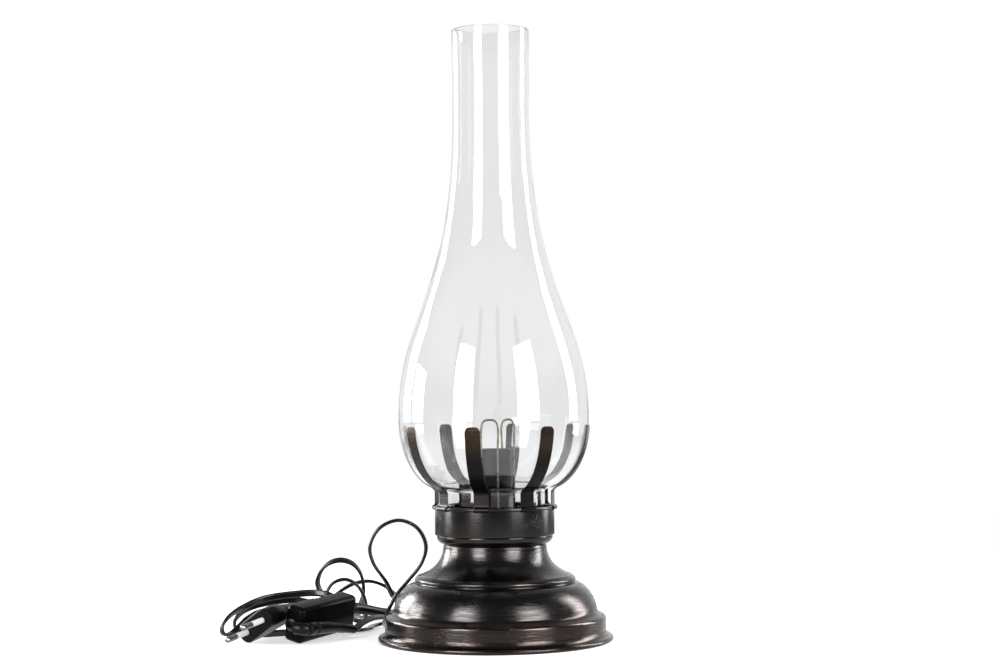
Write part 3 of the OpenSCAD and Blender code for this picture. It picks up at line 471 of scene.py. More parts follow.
def strip(name, line, halves, thickness, place, columns=4):
    """A flat strip along a line of radius and height, with half its width at each point."""
    outer = beside(line, -thickness / 2)
    inner = beside(line, thickness / 2)
    points = []
    faces = []
    across = [2 * j / columns - 1 for j in range(columns + 1)]
    loop = [(outer, a) for a in across] + [(inner, a) for a in across[::-1]]
    n = len(loop)
    for i, half in enumerate(halves):
        points += [place @ Vector((side[i].x, half * a, side[i].y)) for side, a in loop]
        if i:
            base = (i - 1) * n
            faces += [(base + k, base + (k + 1) % n, base + n + (k + 1) % n, base + n + k)
                      for k in range(n)]
    last = (len(halves) - 1) * n
    faces += [tuple(range(n - 1, -1, -1)), tuple(range(last, last + n))]
    return meshed(name, points, faces, 50)


def rounded_edges(piece, width, segments=2):
    """Small rounds on the piece's sharp edges."""
    edges = piece.modifiers.new("rounds", "BEVEL")
    edges.width = width
    edges.segments = segments
    edges.angle_limit = math.radians(50)
    return piece


belly_side = [p for p in beside(belly_line(60), -(0.3 * mm + prong_t / 2))
              if prong_x + 1.4 * mm < p.x and p.y < prong_top]
kink = belly_side[0]
prong_line = (belly_side[::-1]
              + bend(pair(prong_x + 1 * mm, kink.y - 1.1 * mm), pair(prong_x + 0.3 * mm, kink.y - 1.5 * mm),
                     pair(prong_x, kink.y - 2 * mm), pair(prong_x, kink.y - 3 * mm), 8)
              + bend(pair(prong_x, rim_z + 2.6 * mm), pair(prong_x, rim_z + 1.8 * mm),
                     pair(prong_x + 0.3 * mm, rim_z + hook_r), pair(band_r + 0.4 * mm, rim_z + hook_r), 8)
              + arc(pair(band_r + 0.2 * mm, rim_z), hook_r, 70, -95, 20))
prong_run = line_length(prong_line)
tip_rows = [prong_tip * (1 - math.cos(math.radians(9 * i))) for i in range(10)]
prong_rows = tip_rows + list(np.linspace(prong_tip, prong_run, 70)[1:])
prong_halves = [prong_w / 2 * math.sqrt(1 - 0.72 * max(1 - s / prong_tip, 0) ** 2) for s in prong_rows]
prong_points = [pair(*p) for p in spaced(prong_line, prong_rows)]
prong_wear = [(prong_top - 3 * mm, 20 * mm)]
prong_bronze = lacquered("bronze_prongs", 0.4, prong_wear, tones=prong_tones, dull=0.2, lined=0.3)
# Painted shade: the same lacquer made darker for the faces turned to the glass.
prong_painted_shade = lacquered("bronze_prongs_painted_shade", 0.4, prong_wear, tones=shaded_side_tones, dull=0.3, lined=0.3)
for k in range(1, 9):
    compass = Matrix.Rotation(math.radians(prong_turn - 90 + 45 * (k - 1)), 4, "Z")
    prong = strip(f"spring_prong_{k}", prong_points, prong_halves, prong_t, compass)
    rounded_edges(prong, 0.12 * mm)
    prong.data.materials.append(prong_bronze)
    prong.data.materials.append(prong_painted_shade)
    # Faces turned inward get the painted-shade copy of the lacquer.
    for face in prong.data.polygons:
        inward = face.center.x * face.normal.x + face.center.y * face.normal.y < -0.2 * face.center.xy.length
        face.material_index = 1 if inward else 0
    fitted(prong, "lamp", "lacquered_bronze", f"prong_{k}")

# Chimney plate. A pressed steel plate lies on the cup with a low ring that centres the glass, with
# vent holes and holes for the wire loops.
redone("chimney_seat", steel("blackened_steel", (0.05, 0.05, 0.052), 0.4))

# Lamp holder. A black moulded cap is screwed on the threaded tube, and a smooth sleeve is screwed
# over it. Inside are the insert, the brass screw shell, the middle contact and two terminals.
cap_low, cap_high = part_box("holder_cap")
sleeve_low, sleeve_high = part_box("holder_sleeve")
holder_r = sleeve_high.x
sleeve_in_r = holder_r - 1.3 * mm


def moulded(name, tone, rough, scale=1100, gloss=0.15, sheen_streaks=0.0, coat=0.0):
    """Black moulded plastic with a fine grain, a clear gloss where it has them, and upright lines that roughen it
    and paint a lighter sheen into its colour.
    """
    material, start = finish(name)
    place = start.place()
    grain = place.noise(scale, 2, 0.6)
    cloud = place.noise(70, 3)
    dust = place.noise(650, 4, 0.75).between(0.66, 0.75) * cloud.between(0.45, 0.7)
    streak = place.times((700, 700, 12)).noise(1, 2)
    pale = tuple(2.2 * part for part in tone) + (1,)
    return coated(material, {
        # The upright lines paint a lighter sheen into the colour: painted highlight lines.
        "Base Color": (cloud * 0.5 + streak * sheen_streaks + dust * 0.5).between(0.25, 1.1).colour((*tone, 1), pale),
        "Roughness": rough + (cloud - 0.5) * 0.16 + (streak - 0.5) * 0.3 * sheen_streaks + dust * 0.2,
        "Specular IOR Level": gloss,
        "Coat Weight": coat,
        "Coat Roughness": 0.1,
        "Coat IOR": 1.7,
        "Normal": start.bump(grain + streak * sheen_streaks, 0.25, 0.00008),
    })


# The holder carries the painted sheen lines.
holder_black = moulded("holder_black", (0.0045, 0.005, 0.005), 0.36, gloss=0.16, sheen_streaks=0.7)
cap_outline = [pair(tube_r, cap_low.z)]
cap_outline += arc(pair(holder_r - 1 * mm, cap_low.z + 1 * mm), 1 * mm, -90, 0, 6)
cap_outline += [pair(holder_r, sleeve_low.z - 0.1 * mm), pair(sleeve_in_r, sleeve_low.z - 0.1 * mm),
                pair(sleeve_in_r, cap_high.z), pair(sleeve_in_r - 1.2 * mm, cap_high.z),
                pair(sleeve_in_r - 1.2 * mm, cap_low.z + 9.5 * mm), pair(tube_r, cap_low.z + 9.5 * mm)]
holder_cap = revolved("lamp_holder_cap", cap_outline, 96)
sleeve_outline = [pair(sleeve_in_r, sleeve_low.z), pair(holder_r - 0.2 * mm, sleeve_low.z),
                  pair(holder_r, sleeve_low.z + 0.3 * mm)]
sleeve_outline += arc(pair(holder_r - 0.7 * mm, sleeve_high.z - 0.7 * mm), 0.7 * mm, 0, 90, 6)
sleeve_outline += [pair(sleeve_in_r - 0.5 * mm, sleeve_high.z),
                   pair(sleeve_in_r - 0.5 * mm, sleeve_high.z - 1.8 * mm),
                   pair(sleeve_in_r, sleeve_high.z - 1.8 * mm)]
holder_sleeve = revolved("lamp_holder_sleeve", sleeve_outline, 96)
for piece, node in ((holder_cap, "holder_cap"), (holder_sleeve, "holder_sleeve")):
    piece.data.materials.append(holder_black)
    fitted(piece, "lamp", "black_plastic", node)
redone("holder_insert", moulded("insert_brown", (0.02, 0.014, 0.011), 0.5))
for node in ("screw_shell", "centre_contact", "terminal_screws"):
    redone(node, brass)
redone("inner_flex", moulded("inner_pvc", (0.02, 0.02, 0.021), 0.45))
redone("inner_leads", moulded("blue_pvc", (0.03, 0.07, 0.24), 0.4))

# Wire loops. Two upright loops of spring wire stand in holes of the plate beside the holder, one
# in front of it and one behind it. They are bent by hand, so neither is quite even.
wire_r = 0.7 * mm


def smoothed(points, step):
    """Centripetal spline through rows of numbers, of which the first three are a place."""
    rows = np.array(points, float)
    rows = np.vstack([2 * rows[0] - rows[1], rows, 2 * rows[-1] - rows[-2]])
    gaps = np.sqrt(np.linalg.norm(np.diff(rows[:, :3], axis=0), axis=1))
    line = []
    for i in range(1, len(rows) - 2):
        t = np.concatenate([[0], np.cumsum(gaps[i - 1:i + 2])])
        p = rows[i - 1:i + 3]
        count = max(2, round(gaps[i] ** 2 / step))
        for x in np.linspace(t[1], t[2], count, endpoint=False):
            a = [p[k] + (p[k + 1] - p[k]) * (x - t[k]) / (t[k + 1] - t[k]) for k in range(3)]
            b = [a[k] + (a[k + 1] - a[k]) * (x - t[k]) / (t[k + 2] - t[k]) for k in range(2)]
            line.append(b[0] + (b[1] - b[0]) * (x - t[1]) / (t[2] - t[1]))
    line.append(rows[-2])
    return np.array(line)


def skinned(name, rings, sharp=40):
    """A closed skin over rings with as many points each."""
    n = len(rings[0])
    points = [p for ring in rings for p in ring]
    faces = []
    for i in range(len(rings) - 1):
        for k in range(n):
            near = (i * n + k, i * n + (k + 1) % n)
            faces.append((*near, near[1] + n, near[0] + n))
    last = (len(rings) - 1) * n
    faces += [tuple(range(n - 1, -1, -1)), tuple(range(last, last + n))]
    return meshed(name, points, faces, sharp)


def tube(name, line, radii, sides=20, sharp=40):
    """A round tube along points, with a radius at each."""
    line = [Vector(p[:3]) for p in line]
    side = None
    rings = []
    for i, centre in enumerate(line):
        run = (line[min(i + 1, len(line) - 1)] - line[max(i - 1, 0)]).normalized()
        side = run.orthogonal() if side is None else side - run * side.dot(run)
        side.normalize()
        up = run.cross(side)
        angles = [2 * math.pi * k / sides for k in range(sides)]
        r = float(radii[i])
        rings.append([centre + r * (math.cos(a) * side + math.sin(a) * up) for a in angles])
    return skinned(name, rings, sharp)


spring_wire = steel("spring_wire", (0.22, 0.2, 0.15), 0.3, 300)
for name, lean in (("front_wire_loop", 0.3 * mm), ("back_wire_loop", -0.4 * mm)):
    low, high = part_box(name)
    y = (low.y + high.y) / 2
    left = low.x + wire_r
    right = high.x - wire_r
    top = high.z - wire_r
    feet = low.z
    bow = [(left, y, feet), (left, y, top - 20 * mm), (left + lean, y, top - 5 * mm),
           (left + 1.2 * mm + lean, y, top - 1.1 * mm), (left + 3.2 * mm, y, top - 0.1 * mm),
           (right - 3.2 * mm, y, top), (right - 1.1 * mm, y, top - 1.3 * mm), (right, y, top - 5 * mm),
           (right - 0.2 * mm, y, top - 20 * mm), (right, y, feet)]
    bow_line = smoothed(bow, 0.8 * mm)
    loop = tube(name + "_bent", bow_line, [wire_r] * len(bow_line), 16)
    loop.data.materials.append(spring_wire)
    fitted(loop, "lamp", "spring_wire", name)

# Chimney. Clear soda-lime glass, blown into a mould and fire-polished at the rim: a short foot,
# a full belly and a long slender neck that opens a little at the top.
glass_wall = 1.6 * mm
throat_r = 25.3 * mm
top_r = 25.8 * mm
throat_h = 51 * mm
top_z = glass_high.z - glass_wall / 2 - 0.1 * mm
shoulder_z = top_z - throat_h
belly_pull = 72 * mm
throat_pull = 125 * mm


def clear_glass():
    material, start = finish("clear_glass")
    place = start.place()
    ripple = place.times((1, 1, 0.35)).noise(34, 2)
    return coated(material, {
        "Base Color": (0.904, 0.906, 0.909, 1),
        "Roughness": 0,
        "IOR": 1.5,
        "Transmission Weight": 1,
        "Normal": start.bump(ripple, 0.3, 0.0006),
    })


foot_curve = bend(pair(fitter_r, belly_foot_z - 3.4 * mm), pair(fitter_r, belly_foot_z - 1.6 * mm),
                  pair(fitter_r + 0.2 * mm, belly_foot_z - 0.1 * mm), pair(fitter_r + 2.4 * mm, belly_foot_z), 8)
belly = [p for p in belly_line(48) if p.x > fitter_r + 2.8 * mm]
shoulder = bend(pair(belly_r, belly_z), pair(belly_r, belly_z + belly_pull),
                pair(throat_r, shoulder_z - throat_pull), pair(throat_r, shoulder_z), 72)[1:]
throat = [pair(throat_r + 0.15 * mm, top_z - throat_h / 2), pair(top_r, top_z)]
glass_line = [pair(fitter_r, glass_low.z)] + foot_curve + belly + shoulder + throat
inside = beside(glass_line, glass_wall)
lip = arc(pair(top_r - glass_wall / 2, top_z), glass_wall / 2, 0, 180, 10)
glass_outline = glass_line[:-1] + lip + inside[-2::-1]
chimney = revolved("clear_chimney", glass_outline, 256, sharp=70)
chimney.data.materials.append(clear_glass())
fitted(chimney, "chimney", "clear_glass", "glass_chimney")

# Flex. Flat twin flex with black PVC over two round cores side by side, so a shallow groove runs
# along both faces. It is stiff and keeps the curls of its packing.
flex_w = 4.8 * mm
flex_t = 2.3 * mm
groove = 0.2 * mm
flex_step = 2.2 * mm
lamp_route = [
    (0, 97, 11, 0, 0), (-2, 109, 8.5, 25, 0), (-13, 116, 6.5, 80, 0), (-30, 108, 8, 120, 0),
    (-44, 91, 12, 140, 0), (-57, 68, 18, 155, 0), (-65, 46, 23, 150, 0), (-69, 27, 27, 130, 0),
    (-73, 14, 38, 105, 0), (-81, 9, 51, 93, 0), (-83, 8, 62, 90, 0), (-76.5, 8, 74, 90, 0),
    (-64, 10, 79, 90, 0), (-52, 12, 74, 88, 0), (-46, 14, 62, 84, 0), (-49, 15, 50, 82, 0),
    (-58.3, 15, 38, 78, 0), (-66, 13, 29, 79, 0), (-69.9, 12, 22, 80, 0), (-72.6, 17, 15.5, 80, 0),
    (-74.5, 27, 9.5, 100, 0), (-74, 40, 5, 135, 0), (-68, 52, 2.5, 148, 0), (-58, 66, 2, 144, 0),
    (-48, 79, 2, 149, 0), (-42, 93, 4, 167, 0), (-42, 105, 7, 206, 0), (-51, 111, 9, 270, 0),
    (-60, 104, 11, 325, 0), (-63, 92, 12, 345, 0), (-66, 80, 12, 342, 0), (-70, 70, 12, 333, 0),
    (-75, 62, 12, 325, 0)]
plug_route = [
    (-94, 16, 6, 150, 30), (-90, 25, 9, 150, 30), (-84, 36, 11, 150, 30), (-78, 47, 10.5, 150, 25),
    (-72, 56, 9, 160, 15), (-70, 66, 7, 185, 0), (-74, 75, 4, 235, 0), (-82, 75, 2, 300, 0),
    (-86, 66, 1.6, 345, 0), (-87, 56, 1.6, 342, 0), (-92, 48, 1.6, 315, 0), (-101, 43, 1.6, 288, 0),
    (-113, 40.5, 1.9, 280, 10), (-124, 37, 2.5, 290, 45), (-135, 31.5, 2.7, 298, 80),
    (-147, 25.5, 2.7, 292, 86), (-158, 22, 2.7, 280, 82), (-167, 22.5, 3, 265, 65),
    (-173.3, 26, 4.2, 262, 48), (-176, 28.6, 7.4, 275, 40), (-175.5, 27, 11.5, 288, 45),
    (-171.5, 29, 16.5, 286, 62), (-164, 35, 20, 300, 78), (-152, 44, 22, 300, 85),
    (-138, 51, 22.3, 300, 80), (-126, 57, 19.6, 305, 65), (-116, 64, 20.5, 310, 45),
    (-107, 71.5, 26.5, 310, 20), (-99, 77, 30.5, 305, 0), (-88, 83, 31.5, 295, 0),
    (-77, 87, 27, 292, 0), (-70, 93, 19, 320, 0), (-70, 102, 9, 0, 0), (-75, 112, 3, 42, 0),
    (-85, 118, 2, 90, 0), (-95, 112, 3, 140, 0), (-99, 101, 5, 160, 0), (-97, 90, 9, 148, 0),
    (-94, 79, 16, 125, 0), (-92, 71, 24, 105, 0), (-91.8, 68, 32, 98, 0), (-94, 67, 39.8, 94, 12),
    (-99.4, 66.5, 45.8, 90, 24), (-107.4, 66, 48, 84, 32), (-115.4, 66, 45.8, 74, 28),
    (-121.2, 66.5, 39.8, 66, 16), (-123.4, 67.5, 32, 62, 5), (-121.5, 69, 26, 62, 0),
    (-118, 71, 20, 66, 0), (-114.5, 70.5, 13, 84, 0), (-114, 65, 7, 115, 0),
    (-118.5, 57.5, 4.8, 130, 0), (-126, 51, 6, 128, 10), (-137, 45.5, 10.5, 122, 30),
    (-148, 38.5, 15, 128, 55), (-158, 30.5, 16.5, 130, 72), (-166, 23, 13, 132, 60),
    (-172, 17, 7.5, 130, 40), (-177, 12, 4, 122, 15), (-181, 8.8, 4.6, 118, -12),
    (-182, 8.5, 8.5, 118, -28), (-179.6, 12, 13.5, 120, -40), (-175.5, 18, 17.3, 125, -52),
    (-168, 26, 21.3, 130, -65), (-157, 34, 25, 130, -78), (-138, 41, 27.2, 120, -85),
    (-119, 47, 27, 290, -80), (-109, 52, 22.5, 294, -60), (-103, 60, 13, 300, -42),
    (-98, 69, 6, 303, -28), (-93, 71.5, 5, 300, -15), (-90, 67, 11, 290, 0), (-90, 62, 20, 282, 0),
    (-92.5, 60, 27, 280, 0), (-97.5, 59, 33, 276, 6), (-104, 58, 35.3, 275, 14),
    (-111.2, 57.3, 33.3, 278, 10), (-115.6, 56.4, 28.2, 284, 4), (-117, 53.3, 22, 290, 5),
    (-117.5, 47, 19.3, 300, 15), (-118.6, 38, 21, 308, 24), (-122.2, 28.9, 23, 312, 30)]


def with_side(point):
    """A route point in metres, and the direction of the flex's wide side there."""
    x, y, z, compass, tipped = point
    a = math.radians(compass)
    b = math.radians(tipped)
    return (x * mm, y * mm, z * mm, math.cos(a) * math.cos(b), math.sin(a) * math.cos(b), math.sin(b))


def twin_section():
    """Outline of the flex across its run: two round cores and the shallow groove between them."""
    core = flex_t / 2
    middle = flex_w / 2 - core
    right = arc(pair(middle, 0), core, -92, 92, 10)
    left = arc(pair(-middle, 0), core, 88, 272, 10)
    return right + [pair(0, core - groove)] + left + [pair(0, groove - core)]


def flat_flex(name, route):
    """The flex along a route, and its middle line."""
    line = smoothed([with_side(point) for point in route], flex_step)
    rings = []
    for i, row in enumerate(line):
        run = Vector(line[min(i + 1, len(line) - 1)][:3]) - Vector(line[max(i - 1, 0)][:3])
        run.normalize()
        side = Vector(row[3:])
        side = (side - run * side.dot(run)).normalized()
        up = run.cross(side)
        rings.append([Vector(row[:3]) + p.x * side + p.y * up for p in twin_section()])
    return skinned(name, rings, 60), [tuple(row[:3]) for row in line]


flex_black = moulded("flex_pvc", (0.0015, 0.0015, 0.0018), 0.3, 800, 0.25, coat=0.35)
lamp_flex, lamp_line = flat_flex("lamp_flex_run", lamp_route)
plug_flex, plug_line = flat_flex("plug_flex_run", plug_route)
for piece, node in ((lamp_flex, "lamp_flex"), (plug_flex, "plug_flex")):
    piece.data.materials.append(flex_black)
    fitted(piece, "lamp", "black_flex", node)

# Bushing. A ribbed black grommet is snapped into the back of the skirt and carries the flex out.
bushing_low, bushing_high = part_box("flex_bushing")
outlet_z = 11 * mm
outlet_r = 4.3 * mm
bushing_l = bushing_high.y - skirt_r - 0.1 * mm
rubber_black = moulded("rubber_black", (0.0018, 0.0018, 0.002), 0.32, 900, 0.2)


def ribbed(length, start_r, stop_r, ribs, first, pitch, depth):
    """Outer line of a ribbed taper from its tip at height 0."""
    line = []
    for i in range(121):
        z = length * i / 120
        r = start_r + (stop_r - start_r) * i / 120
        phase = (z - first) / pitch
        cut = 0 <= phase < ribs
        line.append(pair(r - (depth * max(0, math.sin(2 * math.pi * phase)) ** 0.5 if cut else 0), z))
    return line


bushing_line = [pair(0, 0)] + arc(pair(2.3 * mm, 0.6 * mm), 0.6 * mm, -90, 0, 5)
bushing_line += [p + pair(0, 0.6 * mm)
                 for p in ribbed(bushing_l - 3.8 * mm, 2.9 * mm, 4.2 * mm, 4, 3 * mm, 4 * mm, 0.7 * mm)]
bushing_line += arc(pair(outlet_r + 0.5 * mm, bushing_l - 2.2 * mm), 0.4 * mm, 270, 360, 5)
bushing_line += [pair(outlet_r + 0.9 * mm, bushing_l - 0.6 * mm), pair(outlet_r - 0.1 * mm, bushing_l - 0.6 * mm),
                 pair(outlet_r - 0.1 * mm, bushing_l + 1.6 * mm), pair(outlet_r + 0.6 * mm, bushing_l + 1.6 * mm),
                 pair(outlet_r + 0.6 * mm, bushing_l + 4 * mm), pair(0, bushing_l + 4 * mm)]
bushing_seat = Matrix.Translation((0, bushing_high.y, outlet_z)) @ Matrix.Rotation(math.radians(90), 4, "X")
bushing = revolved("ribbed_bushing", bushing_line, 48, bushing_seat)
bushing.data.materials.append(rubber_black)
fitted(bushing, "lamp", "black_plastic", "flex_bushing")

# Switch. Two moulded halves are screwed together round the contacts, with a rocker on the face
# that lies away from the camera. The body lies on its long side and leans on a loop of flex.
switch_l = 59.5 * mm
switch_t = 15 * mm
switch_w = 24.5 * mm
switch_edge = 3.9 * mm
split_y = 6 * mm
seam = 0.12 * mm
switch_at = Vector((-132.4, -14.5, 13)) * mm
switch_turn = Euler([math.radians(a) for a in (12, -3.8, 57)])
on_switch = (Matrix.Translation(switch_at) @ switch_turn.to_matrix().to_4x4()
             @ Matrix.Translation((0, -switch_t / 2, -switch_w / 2)))
rocker_l = 15 * mm
rocker_w = 9 * mm
rocker_x = switch_l / 2
pivot_y = switch_t - 3.2 * mm
rocker_tilt = math.radians(6)


def block(low, high, r, segments=8):
    """A solid block with all its edges rounded."""
    shape = bmesh.new()
    bmesh.ops.create_cube(shape, size=1)
    middle = (Vector(low) + Vector(high)) / 2
    size = Vector(high) - Vector(low)
    for vert in shape.verts:
        vert.co = Vector([c * s for c, s in zip(vert.co, size)]) + middle
    if r:
        bmesh.ops.bevel(shape, geom=shape.edges[:], offset=r, segments=segments, profile=0.5,
                        affect="EDGES")
    return shape


def cut_off(shape, point, outward):
    """Cuts the solid at a plane and closes it there."""
    geometry = shape.verts[:] + shape.edges[:] + shape.faces[:]
    cut = bmesh.ops.bisect_plane(shape, geom=geometry, plane_co=point, plane_no=outward, clear_outer=True)
    edges = [e for e in cut["geom_cut"] if isinstance(e, bmesh.types.BMEdge)]
    bmesh.ops.edgeloop_fill(shape, edges=edges)
    return shape


def placed(name, shape, place, sharp=35):
    """The solid as an object in the lamp's frame."""
    points = [place @ v.co for v in shape.verts]
    faces = [[v.index for v in f.verts] for f in shape.faces]
    shape.free()
    return meshed(name, points, faces, sharp)


def indexed(shape):
    shape.verts.index_update()
    return shape


def carved(piece, cutter):
    """Takes the cutter's solid out of the piece."""
    cut = piece.modifiers.new("cut", "BOOLEAN")
    cut.object = cutter
    cut.solver = "EXACT"
    bpy.context.view_layer.update()
    whole = piece.evaluated_get(bpy.context.evaluated_depsgraph_get())
    mesh = bpy.data.meshes.new_from_object(whole)
    piece.modifiers.clear()
    piece.data = mesh
    mesh.shade_smooth()
    mesh.set_sharp_from_angle(angle=math.radians(35))
    bpy.data.objects.remove(cutter)
    return piece


switch_box = ((0, 0, 0), (switch_l, switch_t, switch_w))
front_half = cut_off(block(*switch_box, switch_edge), (0, split_y - seam, 0), (0, 1, 0))
back_half = cut_off(block(*switch_box, switch_edge), (0, split_y + seam, 0), (0, -1, 0))
switch_black = moulded("switch_black", (0.0015, 0.0015, 0.0018), 0.3, 1300, 0.06)
switch_base = placed("switch_front_half", indexed(front_half), on_switch)
switch_cover = placed("switch_back_half", indexed(back_half), on_switch)
well_low = (rocker_x - rocker_l / 2 - 0.7 * mm, split_y + 1.4 * mm, switch_w / 2 - rocker_w / 2 - 0.3 * mm)
well_high = (rocker_x + rocker_l / 2 + 0.7 * mm, switch_t + 5 * mm, switch_w / 2 + rocker_w / 2 + 0.3 * mm)
well = placed("well", indexed(block(well_low, well_high, 0)), on_switch)
carved(switch_cover, well)
for piece, node in ((switch_base, "switch_base"), (switch_cover, "switch_cover")):
    rounded_edges(piece, 0.25 * mm)
    piece.data.materials.append(switch_black)
    fitted(piece, "lamp", "black_plastic", node)
for node, metal in (("switch_contacts", brass), ("switch_screws", zinc)):
    redone(node, metal)

# Rocker. A rocker with a hollowed top tips on two moulded pins and presses the copper bridge on
# the contacts. It moves with its own body.
on_rocker = (on_switch @ Matrix.Translation((rocker_x, pivot_y, 0)) @ Matrix.Rotation(rocker_tilt, 4, "Z")
             @ Matrix.Translation((-rocker_x, -pivot_y, 0)))


def rocker_side():
    """Outline of the rocker seen along its pivot: a hollowed top and a narrow foot."""
    half = rocker_l / 2
    top = [pair(rocker_x + half - 2 * half * i / 24,
                switch_t + 0.3 * mm + 0.9 * mm * (1 - i / 12) ** 2) for i in range(25)]
    return top + [pair(rocker_x - half, pivot_y + 0.4 * mm), pair(rocker_x - 3 * mm, pivot_y - 2 * mm),
                  pair(rocker_x + 3 * mm, pivot_y - 2 * mm), pair(rocker_x + half, pivot_y + 0.4 * mm)]


rocker_rings = [[on_rocker @ Vector((p.x, p.y, z)) for p in rocker_side()]
                for z in (switch_w / 2 - rocker_w / 2, switch_w / 2 + rocker_w / 2)]
rocker = skinned("rocker_key", rocker_rings, 35)
rounded_edges(rocker, 0.4 * mm, 3)
rocker.data.materials.append(moulded("rocker_black", (0.016, 0.016, 0.017), 0.34))
fitted(rocker, "rocker", "black_plastic", "switch_rocker")
redone("switch_bridge", steel("copper", (0.7, 0.33, 0.2), 0.3))

# Boots. A tapered rubber boot guards the flex at each end of the switch. The far one points away,
# and the near one is folded back along the body.
boot_r = 4.5 * mm
boot_tip_r = 2.7 * mm


def in_lamp(x, y, z):
    """A point in the switch's own frame, in millimetres from the middle of its near end."""
    return tuple(on_switch @ (Vector((x, y, z)) * mm + Vector((0, switch_t / 2, switch_w / 2))))


def sleeve(name, path, profile, step=0.8 * mm):
    """A tube along a path whose radius follows a profile of distances and radii."""
    line = smoothed(path, step)
    long = line_length(line)
    marks = [long + d if d < 0 else d for d, r in profile]
    stations = sorted(set(list(np.arange(0, long, step)) + marks + [long]))
    radii = np.interp(stations, marks, [r for d, r in profile])
    return tube(name, spaced(line, stations), radii, 32)


def step_up(at, low, high, soft=0.35 * mm):
    return [(at - soft, low), (at + soft, high)]


near_path = [in_lamp(*p) for p in (
    (1.6, 0, 0), (-2, 0, 0), (-3.6, -1.3, 0), (-4.5, -4, 0.2), (-4.6, -6.4, 0.4), (-3.8, -9.4, 0.7),
    (-2, -11.6, 0.7), (0.6, -12.4, 0.5), (6.9, -12.5, -0.1), (21, -13.5, -1.7), (34, -14.7, -3.9))]
near_path.append(tuple(c * mm for c in plug_route[0][:3]))
near_profile = [(0, 3 * mm), (1.4 * mm, 3 * mm), *step_up(1.8 * mm, 3 * mm, 4.4 * mm),
                *step_up(3.5 * mm, 4.4 * mm, 2.7 * mm), (8.1 * mm, 2.7 * mm),
                *step_up(10.4 * mm, 2.8 * mm, 4.1 * mm), *step_up(18.5 * mm, 4.15 * mm, 3.6 * mm),
                *step_up(19.7 * mm, 3.6 * mm, boot_r), *step_up(25.9 * mm, boot_r, 4.05 * mm),
                *step_up(27.1 * mm, 4.05 * mm, 4.4 * mm), (38 * mm, 4 * mm), (50 * mm, 3.3 * mm),
                (-0.8 * mm, boot_tip_r + 0.1 * mm), (-0.01 * mm, boot_tip_r - 0.4 * mm)]
near_boot = sleeve("folded_boot", near_path, near_profile)

far_end = Vector(lamp_route[-1][:3]) * mm
far_face = Vector(in_lamp(59.5, 0, 0))
far_run = (far_face - far_end).normalized()
far_path = [in_lamp(58, 0, 0), in_lamp(61, 0, 0), in_lamp(66, 0, 0),
            tuple(far_end + 7 * mm * far_run), tuple(far_end)]
far_profile = [(0, 3 * mm), (1.4 * mm, 3 * mm), *step_up(1.9 * mm, 3 * mm, boot_r),
               *step_up(4.8 * mm, boot_r, 3.7 * mm), *step_up(6.2 * mm, 3.7 * mm, 4.15 * mm),
               (-0.8 * mm, boot_tip_r + 0.1 * mm), (-0.01 * mm, boot_tip_r - 0.4 * mm)]
far_boot = sleeve("straight_boot", far_path, far_profile)
for piece, node in ((near_boot, "switch_near_boot"), (far_boot, "switch_far_boot")):
    piece.data.materials.append(rubber_black)
    fitted(piece, "lamp", "black_plastic", node)

# Plug. A flat moulded two-pin plug with a ribbed boot. Its round pins are nickel-plated brass
# with white insulating sleeves next to the face.
plug_l = 36 * mm
plug_w = 35 * mm
plug_t = 13.7 * mm
plug_boot_l = 21 * mm
plug_end = Vector(plug_route[-1][:3]) * mm
plug_turn = Euler([math.radians(a) for a in (-30, -10.7, 51.3)])
on_plug = (Matrix.Translation(plug_end) @ plug_turn.to_matrix().to_4x4()
           @ Matrix.Translation((-plug_l - plug_boot_l, 0, 0)))


def plug_ring(x, half_w, half_t):
    """Outline of the plug across its length: a flat shape with round ends."""
    straight = max(half_w - half_t, 0)
    points = arc(pair(straight, 0), half_t, -90, 90, 16) + arc(pair(-straight, 0), half_t, 90, 270, 16)
    return [on_plug @ Vector((x, p.x, p.y)) for p in points]


plug_rings = []
for a in range(0, 91, 15):
    draw_in = 0.9 * mm * (1 - math.sin(math.radians(a)))
    x = 0.9 * mm * (1 - math.cos(math.radians(a)))
    plug_rings.append(plug_ring(x, plug_w / 2 - draw_in, plug_t / 2 - draw_in))
for i in range(1, 41):
    x = 0.9 * mm + (plug_l - 0.9 * mm) * i / 40
    draw_in = max(x - 8.5 * mm, 0) / (plug_l - 8.5 * mm)
    ease = draw_in * draw_in * (3 - 2 * draw_in) * 0.35 + draw_in * 0.65
    rib = 0.35 * mm if 0.3 < draw_in < 0.75 and math.sin(draw_in * 60) > 0.2 else 0
    plug_rings.append(plug_ring(x, plug_w / 2 + (5.4 * mm - plug_w / 2) * ease - rib,
                                plug_t / 2 + (5.4 * mm - plug_t / 2) * ease))
plug_body = skinned("flat_plug", plug_rings, 50)
boot_line = [pair(0, 0)] + arc(pair(1.9 * mm, 0.6 * mm), 0.6 * mm, -90, 0, 5)
boot_line += [p + pair(0, 0.6 * mm)
              for p in ribbed(plug_boot_l - 1.2 * mm, 2.9 * mm, 4.8 * mm, 4, 5 * mm, 3.4 * mm, 0.7 * mm)]
boot_line += [pair(4.9 * mm, plug_boot_l), pair(0, plug_boot_l)]
boot_seat = on_plug @ Matrix.Translation((plug_l + plug_boot_l, 0, 0))
boot_seat = boot_seat @ Matrix.Rotation(math.radians(-90), 4, "Y")
plug_boot = revolved("plug_ribbed_boot", boot_line, 40, boot_seat)
plug_black = moulded("plug_black", (0.0015, 0.0015, 0.0018), 0.33, 1300, 0.1)
for piece, node in ((plug_body, "plug_body"), (plug_boot, "plug_boot")):
    piece.data.materials.append(plug_black)
    fitted(piece, "lamp", "black_plastic", node)
